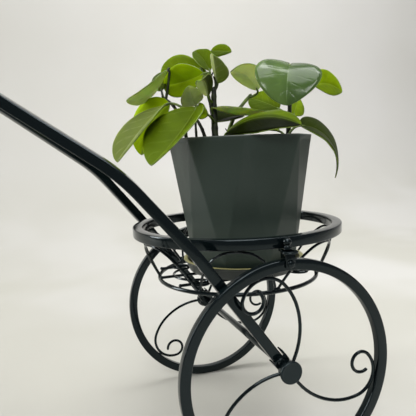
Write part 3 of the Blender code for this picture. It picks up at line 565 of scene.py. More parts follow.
def smooth_run(points, steps=6):
    """More points along a smooth curve through these ones."""
    flat = [Vector(point) for point in points]
    made = [flat[0]]
    for number in range(len(flat) - 1):
        before = flat[max(number - 1, 0)]
        start, end = flat[number], flat[number + 1]
        after = flat[min(number + 2, len(flat) - 1)]
        for step in range(1, steps + 1):
            t = step / steps
            made.append(
                0.5 * (2.0 * start + (end - before) * t
                + (2.0 * before - 5.0 * start + 4.0 * end - after) * t * t
                + (3.0 * start - before - 3.0 * end + after) * t**3)
            )
    return made


print("helpers ready")

# %% [markdown]
# ## Sizes of the frame
# These repeat the driving sizes of the solids, because each finer piece has to lie exactly
# where its solid does.

# %% Sizes
gap = 0.0003
tube = 0.0095
tube_round = 0.0012
wheel_radius = 0.101
rim_depth = 0.0095
rim_width = 0.0085
track = 0.232
hub_radius = 0.009
rear_x = 0.16225
front_x = -0.20575
pot_x = 0.16955
ring_radius = 0.110
ring_width = 0.010
ring_height = 0.010
ring_top = 0.220
basket_radius = 0.084
basket_height = 0.164
basket_rod_radius = 0.002
wire_radius = 0.0013
spoke_radius = 0.0014
spoke_wire_radius = 0.0016
floor_rod_radius = 0.0015
both_sides = (("left", -1.0), ("right", 1.0))


def along_y(x, y, z):
    """Local +Z points to -Y, as for a wheel's axle."""
    return Matrix.Translation((x, y, z)) @ Matrix.Rotation(math.radians(90.0), 4, "X")


def facing(side, x, y, z):
    """Local +Z points out of the side: -Y on the left, +Y on the right."""
    return Matrix.Translation((x, y, z)) @ Matrix.Rotation(math.radians(-90.0 * side), 4, "X")


def square_outline(width, height, radius, steps=4):
    """The section of a square tube, with rounded corners."""
    made = []
    for across, up, turn in ((1, 1, 0.0), (-1, 1, 90.0), (-1, -1, 180.0), (1, -1, 270.0)):
        for step in range(steps + 1):
            angle = math.radians(turn + 90.0 * step / steps)
            made.append(
                Vector((
                    across * (width / 2.0 - radius) + radius * math.cos(angle),
                    up * (height / 2.0 - radius) + radius * math.sin(angle),
                ))
            )
    return made


def hoop(outer_radius, width, height, place, steps=144):
    """Square tube bent round into a ring."""
    middle = outer_radius - width / 2.0
    outline = [(middle + point.x, point.y) for point in square_outline(width, height, tube_round)]
    return spun(outline, place, steps, closed=True)


print("wheel base:", round(rear_x - front_x, 3))

# %% [markdown]
# ## Weld beads
# On the real stand the wires are welded to the hoops. A small lumpy bead at each joint hides
# the working gap between the solids and is what a close look at such a stand shows.

# %% Weld beads
bead_size_shares = (0.85, 1.15)
bead_lump_share = 0.22
bead_lump_scale = 700.0
bead_lump_shift = 90.0


def weld_beads(name, spots, body, radius):
    """One lumpy bead at each spot, all in one piece."""
    bm = bmesh.new()
    draw = random.Random(len(name))
    for spot in spots:
        size = radius * draw.uniform(*bead_size_shares)
        made = bmesh.ops.create_icosphere(bm, subdivisions=2, radius=size)["verts"]
        for vert in made:
            lump = noise.noise(vert.co * bead_lump_scale + Vector(spot) * bead_lump_shift)
            vert.co *= 1.0 + bead_lump_share * lump
        turn = Matrix.Rotation(draw.uniform(0.0, math.tau), 4, "Z")
        bmesh.ops.transform(bm, matrix=Matrix.Translation(spot) @ turn, verts=made)
    print(name, "joins", len(spots), "spots")
    return piece(name, bm, body, [gloss_black], sharp=80.0)


# %% [markdown]
# ## Wheels
# A wheel is a hoop of square tube with three wires curled into scrolls between the hub and the
# rim. A wire bender makes such a scroll from arcs of falling radius, and so does this code.

# %% Scroll spokes
spokes_per_wheel = 3
scroll_radii = (0.0655, 0.0510, 0.0225, 0.0095)
scroll_turns = (43.0, 27.0, 121.0, 265.0)
scroll_heading = 178.0
rim_inner = wheel_radius - rim_depth
cad_ring_steps = 36


def arc_chain(start, heading, radii, turns, steps=72):
    """A flat wire bent through arcs; arcs below zero bend right."""
    points = [Vector((start[0], start[1], 0.0))]
    angle = math.radians(heading)
    for radius, turn in zip(radii, turns):
        centre = points[-1] + Vector((-math.sin(angle), math.cos(angle), 0.0)) * radius
        count = max(4, round(steps * abs(turn) / 360.0))
        for step in range(1, count + 1):
            bent = angle + math.radians(turn) * step / count
            points.append(centre - Vector((-math.sin(bent), math.cos(bent), 0.0)) * radius)
        angle += math.radians(turn)
    return points


def growth_to(start, point, reach):
    """How many times the way to this point is grown before it comes this far from the axle."""
    way = point - start
    if way.length < gap:
        return math.inf
    half = start.dot(way) / way.dot(way)
    return math.sqrt(half**2 + (reach**2 - start.dot(start)) / way.dot(way)) - half


def spoke_run(phase, number):
    """One scroll, out of the hub and grown until it meets the rim, in the wheel's plane."""
    start = Vector((-(hub_radius + gap), 0.0, 0.0))
    points = arc_chain(start, scroll_heading, scroll_radii, scroll_turns)
    reach = rim_inner * math.cos(math.pi / cad_ring_steps) - gap - spoke_radius
    growth = min(growth_to(start, point, reach) for point in points)
    turn = Matrix.Rotation(math.radians(phase + 360.0 / spokes_per_wheel * number), 3, "Z")
    return [turn @ start.lerp(point, growth) for point in points]


print("a scroll has", len(spoke_run(0.0, 0)), "points")

# %% Dress the wheels
hub_softness = 0.0008
wheel_bead_radius = 0.0018
scroll_tip_share = 0.8
rear_hub_span = (-0.00475, 0.0019)
front_hub_span = (-0.010, 0.010)
front_hub_bore = 0.0033


def dress_wheel(label, x, y, phase, hub_span, hub_bore, body):
    """The rim, the three scrolls with their welds, and the hub barrel."""
    place = along_y(x, y, wheel_radius)
    rim = hoop(wheel_radius, rim_depth, rim_width, place)
    stand_in(f"{label}_rim_fine", rim, body, f"{label}_rim")
    spots = []
    for number in range(spokes_per_wheel):
        flat = spoke_run(phase, number)
        run = [place @ point for point in flat]
        radii = [spoke_wire_radius] * len(run)
        radii[-1] *= scroll_tip_share
        wire = swept([(run, radii)])
        stand_in(f"{label}_scroll_{number + 1}", wire, body, f"{label}_spoke_{number + 1}")
        far = max(flat, key=lambda point: point.length)
        spots += [place @ (far * (1.0 + spoke_radius / far.length)), run[0]]
    weld_beads(f"{label}_wheel_welds", spots, body, wheel_bead_radius)
    side = 1.0 if y > 0.0 else -1.0
    foot = facing(side, x, y + side * hub_span[0], wheel_radius)
    hub = barrel(hub_bore, hub_radius, hub_span[1] - hub_span[0], hub_softness, foot, steps=64)
    stand_in(f"{label}_hub_fine", hub, body, f"{label}_hub")


dress_wheel("rear_left", rear_x, -track / 2.0, 5.0, rear_hub_span, 0.0, "frame")
dress_wheel("rear_right", rear_x, track / 2.0, 2.0, rear_hub_span, 0.0, "frame")
dress_wheel("front", front_x, 0.0, 40.0, front_hub_span, front_hub_bore, "front_wheel")
print("wheels dressed")

# %% [markdown]
# ## Ring and basket
# The pot stands inside a hoop of square tube. Seven wire arches run round below it down to a
# thinner hoop, and rods with scrolls between them make the floor that the saucer stands on.
# Both hoops are outlines spun about the pot's place, which gives them an even section.

# %% Pot ring and basket ring
basket_x = rear_x
rod_sides = 16
ring_place = Matrix.Translation((basket_x, 0.0, ring_top - ring_height / 2.0))
ring_mesh = hoop(ring_radius, ring_width, ring_height, ring_place, steps=160)
stand_in("pot_ring_fine", ring_mesh, "frame", "pot_ring")
rod_turns = [math.tau * step / rod_sides for step in range(rod_sides)]
rod_outline = [
    (basket_radius + basket_rod_radius * math.cos(turn), basket_rod_radius * math.sin(turn))
    for turn in rod_turns
]
basket_place = Matrix.Translation((basket_x, 0.0, basket_height))
lower_ring_mesh = spun(rod_outline, basket_place, steps=128, closed=True)
stand_in("basket_ring_fine", lower_ring_mesh, "frame", "basket_ring")
print("rings at", ring_top, "and", basket_height)

# %% [markdown]
# ### Arches
# Each arch is one bent wire that stands on the lower ring with both feet and meets the pot
# ring at its crown. Such a wire follows no formula, so its shape is given as a few shares of
# its width and height with a smooth curve through them. Weld beads cover its feet and crown.

# %% Arches
arch_count = 7
arch_bearing = -112.0
arch_seat_share = 0.55
arch_foot_share = 0.955
arch_sink_share = 0.6
arch_bead_radius = 0.0019
arch_shares = ((1.0, 0.0), (0.90, 0.22), (0.76, 0.48), (0.58, 0.72), (0.36, 0.91), (0.14, 0.985))


def arch_run(number):
    """Up from the basket ring, round under the pot ring, and down again."""
    low = basket_height + basket_rod_radius + gap + wire_radius * arch_seat_share
    high = ring_top - ring_height - gap - wire_radius
    half_pitch = 180.0 / arch_count * arch_foot_share
    centre = arch_bearing + 360.0 / arch_count * number
    top_radius = ring_radius - ring_width / 2.0
    path = [(-across, up) for across, up in arch_shares] + list(reversed(arch_shares))
    points = []
    for across, up in path:
        angle = math.radians(centre + half_pitch * across)
        radius = basket_radius + (top_radius - basket_radius) * up
        x, y = basket_x + radius * math.cos(angle), radius * math.sin(angle)
        points.append(Vector((x, y, low + (high - low) * up)))
    return smooth_run(points)


arch_spots = []
crown_rise = Vector((0.0, 0.0, wire_radius))
foot_drop = Vector((0.0, 0.0, -wire_radius * arch_sink_share))
for number in range(arch_count):
    run = arch_run(number)
    arch_mesh = swept([(run, wire_radius)])
    stand_in(f"arch_{number + 1}", arch_mesh, "frame", f"basket_arch_{number + 1}")
    arch_spots += [run[0] + foot_drop, run[-1] + foot_drop, run[len(run) // 2] + crown_rise]
weld_beads("arch_welds", arch_spots, "frame", arch_bead_radius)

# %% [markdown]
# ### Basket floor
# Three straight rods cross the lower ring from front to back, and four small scrolls lie
# between them. One scroll is bent as the wheels' are, and then mirrored to the other three
# quarters, because the real ones are bent on one jig.

# %% Basket floor
floor_rod_spacing = 0.038
scroll_start = (0.071, -0.001)
floor_scroll_heading = 95.0
floor_scroll_radii = (0.040, 0.018, -0.011, -0.007)
floor_scroll_turns = (25.0, 50.0, -170.0, -190.0)
floor_bead_radius = 0.0018
floor_height = basket_height + basket_rod_radius + gap + floor_rod_radius
floor_runs = []
floor_spots = []
for across in (0.0, -floor_rod_spacing, floor_rod_spacing):
    reach = math.sqrt(basket_radius**2 - across**2)
    ends = [Vector((basket_x + end, across, floor_height)) for end in (-reach, reach)]
    floor_runs.append((ends, floor_rod_radius))
    floor_spots += ends
scroll = arc_chain(scroll_start, floor_scroll_heading, floor_scroll_radii, floor_scroll_turns)
for front in (-1.0, 1.0):
    for side in (-1.0, 1.0):
        run = [Vector((basket_x + front * p.x, side * p.y, floor_height)) for p in scroll]
        floor_runs.append((run, wire_radius))
stand_in("basket_floor_fine", swept(floor_runs), "frame", "basket_floor")
weld_beads("floor_welds", floor_spots, "frame", floor_bead_radius)
print("the basket's floor has", len(floor_runs), "rods and scrolls")

# %% [markdown]
# ## Arms
# Two lengths of square tube sweep from the rear axle past the ring and meet at the head. Each
# is one line with rounded corners, so the tube follows the bends that a bending machine gives.

# %% Arms
head_radius = 0.0088
rake = math.radians(12.0)
arm_offset = 0.1045
low_bend = (0.0801, 0.2133)
mid_bend = (0.1345, 0.2795)
mid_bend_offset = 0.0916
high_bend = (0.2518, 0.3650)
low_bend_radius = 0.097
mid_bend_radius = 0.133
high_bend_radius = 0.100
arm_end_height = 0.3667
tube_outline = outline_curve("tube_outline", list(reversed(square_outline(tube, tube, tube_round))))


def fillet(corners, radius, steps=14):
    """The corner points with each inner corner rounded to this radius."""
    points = [Vector(corners[0])]
    for before, corner, after in zip(corners, corners[1:], corners[2:]):
        corner = Vector(corner)
        back = (Vector(before) - corner).normalized()
        ahead = (Vector(after) - corner).normalized()
        half = back.angle(ahead) / 2.0
        centre = corner + (back + ahead).normalized() * (radius / math.sin(half))
        start = corner + back * (radius / math.tan(half)) - centre
        end = corner + ahead * (radius / math.tan(half)) - centre
        for step in range(steps + 1):
            points.append(centre + start.slerp(end, step / steps).normalized() * start.length)
    points.append(Vector(corners[-1]))
    return points


def head_point(height):
    """The point of the steering axis at this height."""
    return Vector((front_x + (height - wheel_radius) * math.tan(rake), 0.0, height))


def arm_axis():
    """The way that the arm's lower end takes, up and forward from the axle."""
    return Vector((-low_bend[0], 0.0, low_bend[1] - wheel_radius)).normalized()


def arm_run(side):
    """The arm's centre line, from above the axle bar to the head tube."""
    up = arm_axis()
    outline = square_outline(tube, tube, tube_round)
    bar_reach = max(up.x * p.x + up.z * p.y for p in outline)
    axle = Vector((rear_x, side * arm_offset, wheel_radius))
    corners = [
        axle + up * (bar_reach + gap),
        Vector((rear_x - low_bend[0], side * arm_offset, low_bend[1])),
        Vector((rear_x - mid_bend[0], side * mid_bend_offset, mid_bend[1])),
        Vector((rear_x - high_bend[0], 0.0, high_bend[1])),
        head_point(arm_end_height),
    ]
    end_offset = head_radius + gap + tube / 2.0
    corners[-1].y = side * end_offset
    run = (corners[3].x - corners[-1].x) / (corners[2].x - corners[-1].x)
    corners[3].y = side * (end_offset + (mid_bend_offset - end_offset) * run)
    low = fillet(corners[:3], low_bend_radius)
    middle = fillet(corners[1:4], mid_bend_radius)
    high = fillet(corners[2:], high_bend_radius)
    return low[:-1] + middle[1:-1] + high[1:]


for label, side in both_sides:
    tube_mesh = swept([(arm_run(side), 1.0)], tube_outline, twist="Z_UP")
    stand_in(f"arm_{label}_fine", tube_mesh, "frame", f"arm_{label}")
print("each arm has", len(arm_run(1.0)), "points")

# %% [markdown]
# ## Sheet-metal fittings
# Each arm ends in a small channel that is bolted beside the hub, and a tab welded under the pot
# ring sits on top of each wheel. Such parts are stamped from sheet, so a flat outline is given
# its thickness and then a fine bevel, because a sheared edge is never quite sharp.

# %% Plates with broken edges
sheet_softness = 0.0003
head_skirt_share = 0.25
head_dome_steps = 8


def broken_edges(bm, softness, angle=40.0):
    """A fine bevel along every edge that turns by more than this angle."""
    sharp = [edge for edge in bm.edges if edge.calc_face_angle(0.0) > math.radians(angle)]
    bmesh.ops.bevel(
        bm,
        geom=sharp,
        offset=softness,
        offset_type="OFFSET",
        segments=2,
        profile=0.5,
        affect="EDGES",
        material=-1,
        clamp_overlap=True,
    )


def plate(outline, thickness, place):
    """A flat plate of this outline, its middle plane at local zero."""
    bm = bmesh.new()
    corners = [bm.verts.new((x, y, -thickness / 2.0)) for x, y in outline]
    grown = bmesh.ops.extrude_face_region(bm, geom=[bm.faces.new(corners)])["geom"]
    lifted = [item for item in grown if isinstance(item, bmesh.types.BMVert)]
    bmesh.ops.translate(bm, verts=lifted, vec=(0.0, 0.0, thickness))
    bmesh.ops.recalc_face_normals(bm, faces=bm.faces)
    broken_edges(bm, sheet_softness)
    bmesh.ops.transform(bm, matrix=place, verts=bm.verts)
    return bm


def head_profile(radius, height):
    """A pan head: a short straight skirt under a low dome."""
    points = [(0.0, height)]
    for step in range(1, head_dome_steps + 1):
        angle = math.radians(90.0 * (1.0 - step / head_dome_steps))
        rise = head_skirt_share + (1.0 - head_skirt_share) * math.sin(angle)
        points.append((radius * math.cos(angle), height * rise))
    return points + [(radius, 0.0), (0.0, 0.0)]


print("edges are broken by", sheet_softness, "m")

# %% Arm brackets with their bolts
bracket_sheet = 0.0015
bracket_reach = 0.0125
bracket_end_steps = 16
flange_start = 0.0065
prong_reach = 0.0160
prong_offset = 0.0013
screw_radius = 0.0034
screw_height = 0.0024
screw_place_share = 0.80
axle_radius = 0.0035


def bracket_mesh(side):
    """A web outside the arm with a flange along each of its edges."""
    half_width = tube / 2.0 + gap + bracket_sheet
    outline = [(-half_width, bracket_reach), (-half_width, 0.0)]
    for step in range(1, bracket_end_steps):
        angle = math.radians(180.0 + 180.0 * step / bracket_end_steps)
        outline.append((math.cos(angle) * half_width, math.sin(angle) * half_width))
    outline += [(half_width, 0.0), (half_width + prong_offset, flange_start)]
    outline += [(half_width + prong_offset, bracket_reach)]
    rear_edge = -side
    outline = [(x * rear_edge, y) for x, y in outline]
    up, out = arm_axis(), Vector((0.0, side, 0.0))
    turn = Matrix((up.cross(out), up, out)).transposed().to_4x4()
    middle = arm_offset + tube / 2.0 + gap + bracket_sheet / 2.0
    place = Matrix.Translation((rear_x, side * middle, wheel_radius)) @ turn
    edges = ((-rear_edge, 0.0, bracket_reach), (rear_edge, prong_offset, prong_reach))
    flanges = []
    for edge, offset, reach in edges:
        near = edge * (half_width + offset - bracket_sheet)
        far = edge * (half_width + offset)
        flat = [(near, flange_start), (far, flange_start), (far, reach), (near, reach)]
        flanges.append(plate(flat, tube, place @ Matrix.Translation((0.0, 0.0, -tube / 2.0))))
    return absorb(plate(outline, bracket_sheet, place), flanges)


def screw_mesh(place):
    """The pan head of one screw."""
    return spun(head_profile(screw_radius, screw_height), place, steps=40)


bracket_face = arm_offset + tube / 2.0 + 2.0 * gap + bracket_sheet
for label, side in both_sides:
    stand_in(f"bracket_{label}", bracket_mesh(side), "frame", f"arm_bracket_{label}")
    spot = Vector((rear_x, side * bracket_face, wheel_radius))
    spot += arm_axis() * bracket_reach * screw_place_share
    screw = screw_mesh(facing(side, *spot))
    stand_in(f"bracket_screw_{label}", screw, "frame", f"bracket_bolt_{label}")
axle_half = arm_offset + tube / 2.0
axle_height = wheel_radius + tube / 2.0 - axle_radius
axle_ends = [Vector((rear_x, side * axle_half, axle_height)) for side in (-1.0, 1.0)]
axle_mesh = swept([(axle_ends, axle_radius)], rounding=6)
broken_edges(axle_mesh, sheet_softness, 60.0)
stand_in("axle_bar_fine", axle_mesh, "frame", "axle_bar")
print("axle bar at", round(axle_height, 4))

# %% [markdown]
# ### Ring clips
# A Z-shaped strap joins the pot ring to the wheel on each side: it lies under the ring, runs
# out over the rim and turns down outside it. Its outline, seen from behind, is drawn out to the
# strap's width. The acorn nut below is a six-sided foot that is extruded, with a spun dome.

# %% Ring clips with their nuts and screws
clip_sheet = 0.0018
clip_width = 0.009
clip_overlap = 0.0020
clip_disc_radius = 0.0073
clip_disc_reach = 0.0105
clip_disc_softness = 0.0006
clip_seat_radius = 0.0040
clip_tail = 0.0065
nut_reach = 0.0062
nut_radius = 0.0040
nut_height = 0.0104
nut_foot_share = 0.24
nut_shares = (
    (0.0, 1.0),
    (0.28, 0.99),
    (0.50, 0.96),
    (0.70, 0.91),
    (0.86, 0.83),
    (0.96, 0.74),
    (0.98, 0.66),
    (0.90, 0.54),
    (0.68, 0.45),
    (0.66, 0.34),
    (0.80, 0.26),
    (0.80, 0.0),
    (0.0, 0.0),
)


def clip_mesh(side):
    """A Z-shaped strap: out under the ring, over the rim and down outside it."""
    ring_bottom = ring_top - ring_height - gap
    tab_bottom = ring_bottom - clip_sheet
    rim_face = track / 2.0 + rim_width / 2.0 + gap
    inner, outer = ring_radius - clip_overlap, rim_face + clip_sheet
    block = track / 2.0 - clip_seat_radius
    rim_top, low = 2.0 * wheel_radius + gap, 2.0 * wheel_radius - clip_tail
    outline = [(inner, ring_bottom), (outer, ring_bottom), (outer, low), (rim_face, low)]
    outline += [(rim_face, rim_top), (block, rim_top), (block, tab_bottom), (inner, tab_bottom)]
    outline = [(side * y, z) for y, z in outline]
    turn = Matrix(((0.0, 0.0, 1.0), (1.0, 0.0, 0.0), (0.0, 1.0, 0.0))).to_4x4()
    tab = plate(outline, clip_width, Matrix.Translation((rear_x, 0.0, 0.0)) @ turn)
    foot = Matrix.Translation((rear_x, side * (ring_radius + clip_disc_reach), tab_bottom))
    disc = barrel(0.0, clip_disc_radius, clip_sheet, clip_disc_softness, foot, steps=48)
    return absorb(tab, [disc])


def nut_mesh(place):
    """An acorn nut: a six-sided foot under a spun dome."""
    bm = bmesh.new()
    foot = bmesh.ops.create_circle(bm, cap_ends=True, segments=6, radius=nut_radius)["verts"]
    faces = list({face for vert in foot for face in vert.link_faces})
    grown = bmesh.ops.extrude_face_region(bm, geom=faces)["geom"]
    lifted = [item for item in grown if isinstance(item, bmesh.types.BMVert)]
    bmesh.ops.translate(bm, verts=lifted, vec=(0.0, 0.0, nut_height * nut_foot_share))
    bmesh.ops.recalc_face_normals(bm, faces=bm.faces)
    broken_edges(bm, sheet_softness)
    bmesh.ops.transform(bm, matrix=place, verts=bm.verts)
    profile = [(nut_radius * across, nut_height * up) for across, up in nut_shares]
    return absorb(bm, [spun(profile, place, steps=40)])


clip_face = track / 2.0 + rim_width / 2.0 + 2.0 * gap + clip_sheet
for label, side in both_sides:
    stand_in(f"clip_{label}", clip_mesh(side), "frame", f"ring_clip_{label}")
    seat = Matrix.Translation((rear_x, side * (ring_radius + nut_reach), ring_top - ring_height))
    stand_in(f"acorn_nut_{label}", nut_mesh(seat), "frame", f"ring_bolt_{label}")
    screw_centre = 2.0 * wheel_radius - clip_tail + screw_radius
    screw = screw_mesh(facing(side, rear_x, side * clip_face, screw_centre))
    stand_in(f"clip_screw_{label}", screw, "frame", f"rim_bolt_{label}")
print("clips bolted on at", round(clip_face, 4))

# %% [markdown]
# ### Hub caps
# A black plastic cap with a raised edge closes each rear hub. Its profile is softened before
# it is spun, so that the edge catches a thin line of light.

# %% Hub caps
hub_cap_radius = 0.0105
hub_cap_height = 0.0032
cap_edge_share = 0.30
cap_face_share = 0.92
cap_softness = 0.0007


def cap_mesh(radius, height, place):
    """A low cap with a raised edge round its face."""
    edge, face = height * cap_edge_share, height * cap_face_share
    outline = [(0.0, face), (radius - 2.0 * edge, face), (radius - edge, height)]
    outline += [(radius, height - edge), (radius, 0.0), (0.0, 0.0)]
    return spun(softened(outline, cap_softness, steps=4), place, steps=72)


for label, side in both_sides:
    face = side * (track / 2.0 + rear_hub_span[1] + gap)
    cap = cap_mesh(hub_cap_radius, hub_cap_height, facing(side, rear_x, face, wheel_radius))
    stand_in(f"hub_cap_{label}", cap, "frame", f"rear_{label}_cap", "black_plastic")
print("hubs capped, radius", hub_cap_radius)

# %% [markdown]
# ## Steering
# The photograph ends before the front wheel, so this end follows the type: a head tube where the
# arms meet, a fork of the same square tube and a swept handlebar with two ribbed grips.

# %% Head tube and fork
head_bore = 0.0055
head_length = 0.042
head_above = 0.020
stem_radius = 0.0050
post_radius = 0.0043
stem_above = 0.013
crown_height = 0.2235
fork_spread = 0.0158
fork_bend = 0.014
fork_drop = 0.008
collar_radius = 0.0095
collar_height = 0.006
sleeve_softness = 0.0010
post_softness = 0.0008
lean = math.cos(rake)
head_low = arm_end_height + (head_above - head_length) * lean


def steering_place(height):
    """Local +Z runs up the steering axis from this height."""
    return Matrix.Translation(head_point(height)) @ Matrix.Rotation(rake, 4, "Y")


foot = steering_place(head_low)
sleeve = barrel(head_bore, head_radius, head_length, sleeve_softness, foot, steps=64)
stand_in("head_tube_fine", sleeve, "frame", "head_tube")


def fork_mesh():
    """Two legs of square tube bent over the wheel, and a post with a collar under the head."""
    crown = (crown_height - wheel_radius) / lean
    collar_foot = (head_low - wheel_radius) / lean - gap - collar_height
    collar_top = collar_foot + collar_height
    top = collar_foot + gap + collar_height + head_length + stem_above
    corners = [(0.0, -fork_spread, -fork_drop), (0.0, -fork_spread, crown)]
    corners += [(0.0, fork_spread, crown), (0.0, fork_spread, -fork_drop)]
    legs = swept([(fillet(corners, fork_bend), 1.0)], tube_outline)
    broken_edges(legs, sheet_softness, 60.0)
    place = steering_place(wheel_radius)
    bmesh.ops.transform(legs, matrix=place, verts=legs.verts)
    outline = [(0.0, top), (stem_radius, top), (stem_radius, collar_top)]
    outline += [(collar_radius, collar_top), (collar_radius, collar_foot)]
    outline += [(post_radius, collar_foot), (post_radius, crown), (0.0, crown)]
    return absorb(legs, [spun(softened(outline, post_softness), place, steps=56)])


stand_in("fork_fine", fork_mesh(), "steering", "fork")
print("head and fork stand at", round(head_low, 4))

# %% [markdown]
# ### Front axle
# The front wheel turns on a plain rod between the legs of the fork, with a domed plastic cap
# outside each leg. Both are guesses, so they are kept as plain as the rest of the stand.

# %% Front axle and its caps
front_axle_radius = 0.003
axle_cap_radius = 0.0078
axle_cap_height = 0.0045
axle_reach = fork_spread - tube / 2.0 - gap
axle_length = 2.0 * axle_reach
foot = along_y(front_x, axle_reach, wheel_radius)
rod = barrel(0.0, front_axle_radius, axle_length, sheet_softness, foot, steps=40)
stand_in("front_axle_fine", rod, "steering", "front_axle")
axle_cap = head_profile(axle_cap_radius, axle_cap_height)
for label, side in both_sides:
    spot = facing(side, front_x, side * (fork_spread + tube / 2.0 + gap), wheel_radius)
    node = f"front_axle_cap_{label}"
    cap = spun(axle_cap, spot, steps=56)
    stand_in(f"axle_cap_{label}", cap, "steering", node, "black_plastic")
print("front axle:", round(axle_length, 4), "m")

# %% [markdown]
# ### Handlebar and grips
# The bar rises beside its clamp, sweeps back and drops a little to its ends. Its corners are
# given and then rounded, as a tube bender rounds them, and one sweep makes the whole bar. Each
# grip is spun with soft ribs and is open at its inner end, where the bar goes in.

# %% Handlebar and grips
bar_radius = 0.004
bar_half_width = 0.098
bar_rise = 0.012
bar_sweep = 0.060
bar_bend = 0.010
bar_elbow_share = 0.86
bar_elbow_sweep_share = 0.33
bar_shoulder_share = 0.5
bar_clamp_length = 0.018
bar_clamp_radius = 0.0068
bar_clamp_softness = 0.0010
grip_radius = 0.0065
grip_length = 0.038
grip_end_wall = 0.003
grip_rib_depth = 0.0008
grip_rings = 12
grip_ring_spaces = 13.5
grip_crown_share = 0.7
grip_shoulder_share = 0.94
grip_softness = 0.0012
bar_height = head_low + (head_length + stem_above + gap + bar_clamp_radius) * lean


def bar_corners():
    """The handlebar's centre line, from its left end to its right end."""
    centre = head_point(bar_height)
    path = [(bar_sweep, 1.0, -bar_rise)]
    path += [(bar_sweep * bar_elbow_sweep_share, bar_elbow_share, bar_rise / 2.0)]
    path += [(0.0, bar_shoulder_share, bar_rise)]
    left = [centre + Vector((back, -bar_half_width * share, up)) for back, share, up in path]
    path.reverse()
    right = [centre + Vector((back, bar_half_width * share, up)) for back, share, up in path]
    flat_end = Vector((0.0, bar_clamp_length / 2.0 + bar_radius, 0.0))
    return left + [centre - flat_end, centre + flat_end] + right


def grip_outline():
    """Open at its inner end, with six soft ribs between two shoulders."""
    bore = bar_radius + gap
    shoulder = grip_length * grip_shoulder_share
    points = [(0.0, grip_length), (grip_radius * grip_crown_share, grip_length)]
    points += [(grip_radius, shoulder)]
    for number in range(grip_rings, 0, -1):
        radius = grip_radius - (grip_rib_depth if number % 2 else 0.0)
        points.append((radius, grip_length * number / grip_ring_spaces))
    points += [(grip_radius, 0.0), (bore, 0.0)]
    depth = grip_length - grip_end_wall
    return softened(points, grip_softness) + [Vector((bore, depth)), Vector((0.0, depth))]


corners = bar_corners()
bar_mesh = swept([(fillet(corners, bar_bend, steps=8), bar_radius)], rounding=6)
foot = along_y(head_point(bar_height).x, bar_clamp_length / 2.0, bar_height)
clamp = barrel(0.0, bar_clamp_radius, bar_clamp_length, bar_clamp_softness, foot, steps=56)
absorb(bar_mesh, [clamp])
stand_in("handlebar_fine", bar_mesh, "steering", "handlebar")
for label, end, inner in (("left", corners[0], corners[1]), ("right", corners[-1], corners[-2])):
    out = (end - inner).normalized()
    start = end + out * (grip_end_wall + gap - grip_length)
    turn = out.to_track_quat("Z", "Y").to_matrix().to_4x4()
    grip = spun(grip_outline(), Matrix.Translation(start) @ turn, steps=56)
    stand_in(f"hand_grip_{label}", grip, "steering", f"grip_{label}", "black_plastic", sharp=50.0)
print("handlebar stands at", round(bar_height, 4))

# %% [markdown]
# ## The faceted pot
# The pot is an eight-sided prism whose foot is turned half a side against its rim, so its sides
# are sixteen long triangles. A grid wrapped round the outline of every height makes the shell,
# and the outline's corners are softened as a mould leaves them.

# %% Pot shell
pot_sides = 8
pot_bearing = math.radians(-108.5)
pot_top_radius = 0.0760
pot_base_radius = 0.0574
pot_base_height = 0.183
pot_foot_radius = 0.0550
pot_foot_height = 0.1721
pot_top_height = 0.3095
pot_wall = 0.0028
facet_softness = 0.0018
facet_steps = 3
pot_levels = 24
lip_softness = 0.0009


def pot_corner(number, radius):
    """A corner of an octagon about the pot's axis; half numbers lie between the rim's corners."""
    turn = pot_bearing + math.tau / pot_sides * number
    return Vector((math.cos(turn), math.sin(turn))) * radius


def pot_corners(share, inset=0.0):
    """The wall's sixteen corners at this share of the height of the facets."""
    points = []
    for number in range(pot_sides):
        foot = pot_corner(number + 0.5, pot_base_radius - inset)
        for top in (number, number + 1):
            points.append(foot.lerp(pot_corner(top, pot_top_radius - inset), share))
    return points


def pot_outline(share):
    """The same corners, softened as a mould leaves them."""
    return softened(pot_corners(share), facet_softness, facet_steps, closed=True)


def pot_shell():
    """A grid wrapped round the outline of every height, and closed at the foot."""
    bm = bmesh.new()
    around = 2 * pot_sides * (facet_steps + 1)
    bmesh.ops.create_grid(bm, x_segments=around, y_segments=pot_levels, size=0.5)
    foot = [point * (pot_foot_radius / pot_base_radius) for point in pot_outline(0.0)]
    rings = {0: (pot_foot_height, foot)}
    for level in range(1, pot_levels + 1):
        share = (level - 1) / (pot_levels - 1)
        height = pot_base_height + (pot_top_height - pot_base_height) * share
        rings[level] = (height, pot_outline(share))
    for vert in bm.verts:
        height, outline = rings[round((vert.co.y + 0.5) * pot_levels)]
        point = outline[round((vert.co.x + 0.5) * around) % around]
        vert.co = Vector((pot_x + point.x, point.y, height))
    bmesh.ops.remove_doubles(bm, verts=bm.verts, dist=merge_distance)
    open_edges = [edge for edge in bm.edges if edge.is_boundary]
    low = [edge for edge in open_edges if edge.verts[0].co.z < pot_base_height]
    bmesh.ops.contextual_create(bm, geom=low)
    bmesh.ops.recalc_face_normals(bm, faces=bm.faces)
    return bm


pot = stand_in("pot_fine", pot_shell(), "pot", "pot", "pot_plastic", sharp=60.0)
wall = pot.modifiers.new("Wall", "SOLIDIFY")
wall.thickness = pot_wall
wall.offset = -1.0
soft = pot.modifiers.new("Lip", "BEVEL")
soft.width = lip_softness
soft.segments = 3
soft.limit_method = "ANGLE"
soft.angle_limit = math.radians(60.0)
flat = pot.modifiers.new("Flat facets", "WEIGHTED_NORMAL")
flat.keep_sharp = True
evaluated(pot)
print("pot:", len(pot.data.polygons), "faces")

# %% [markdown]
# ### Saucer
# The saucer is thin moulded plastic with a small flat lip. Both faces of its wall are drawn as
# one outline, so a single spin gives it its real thickness.

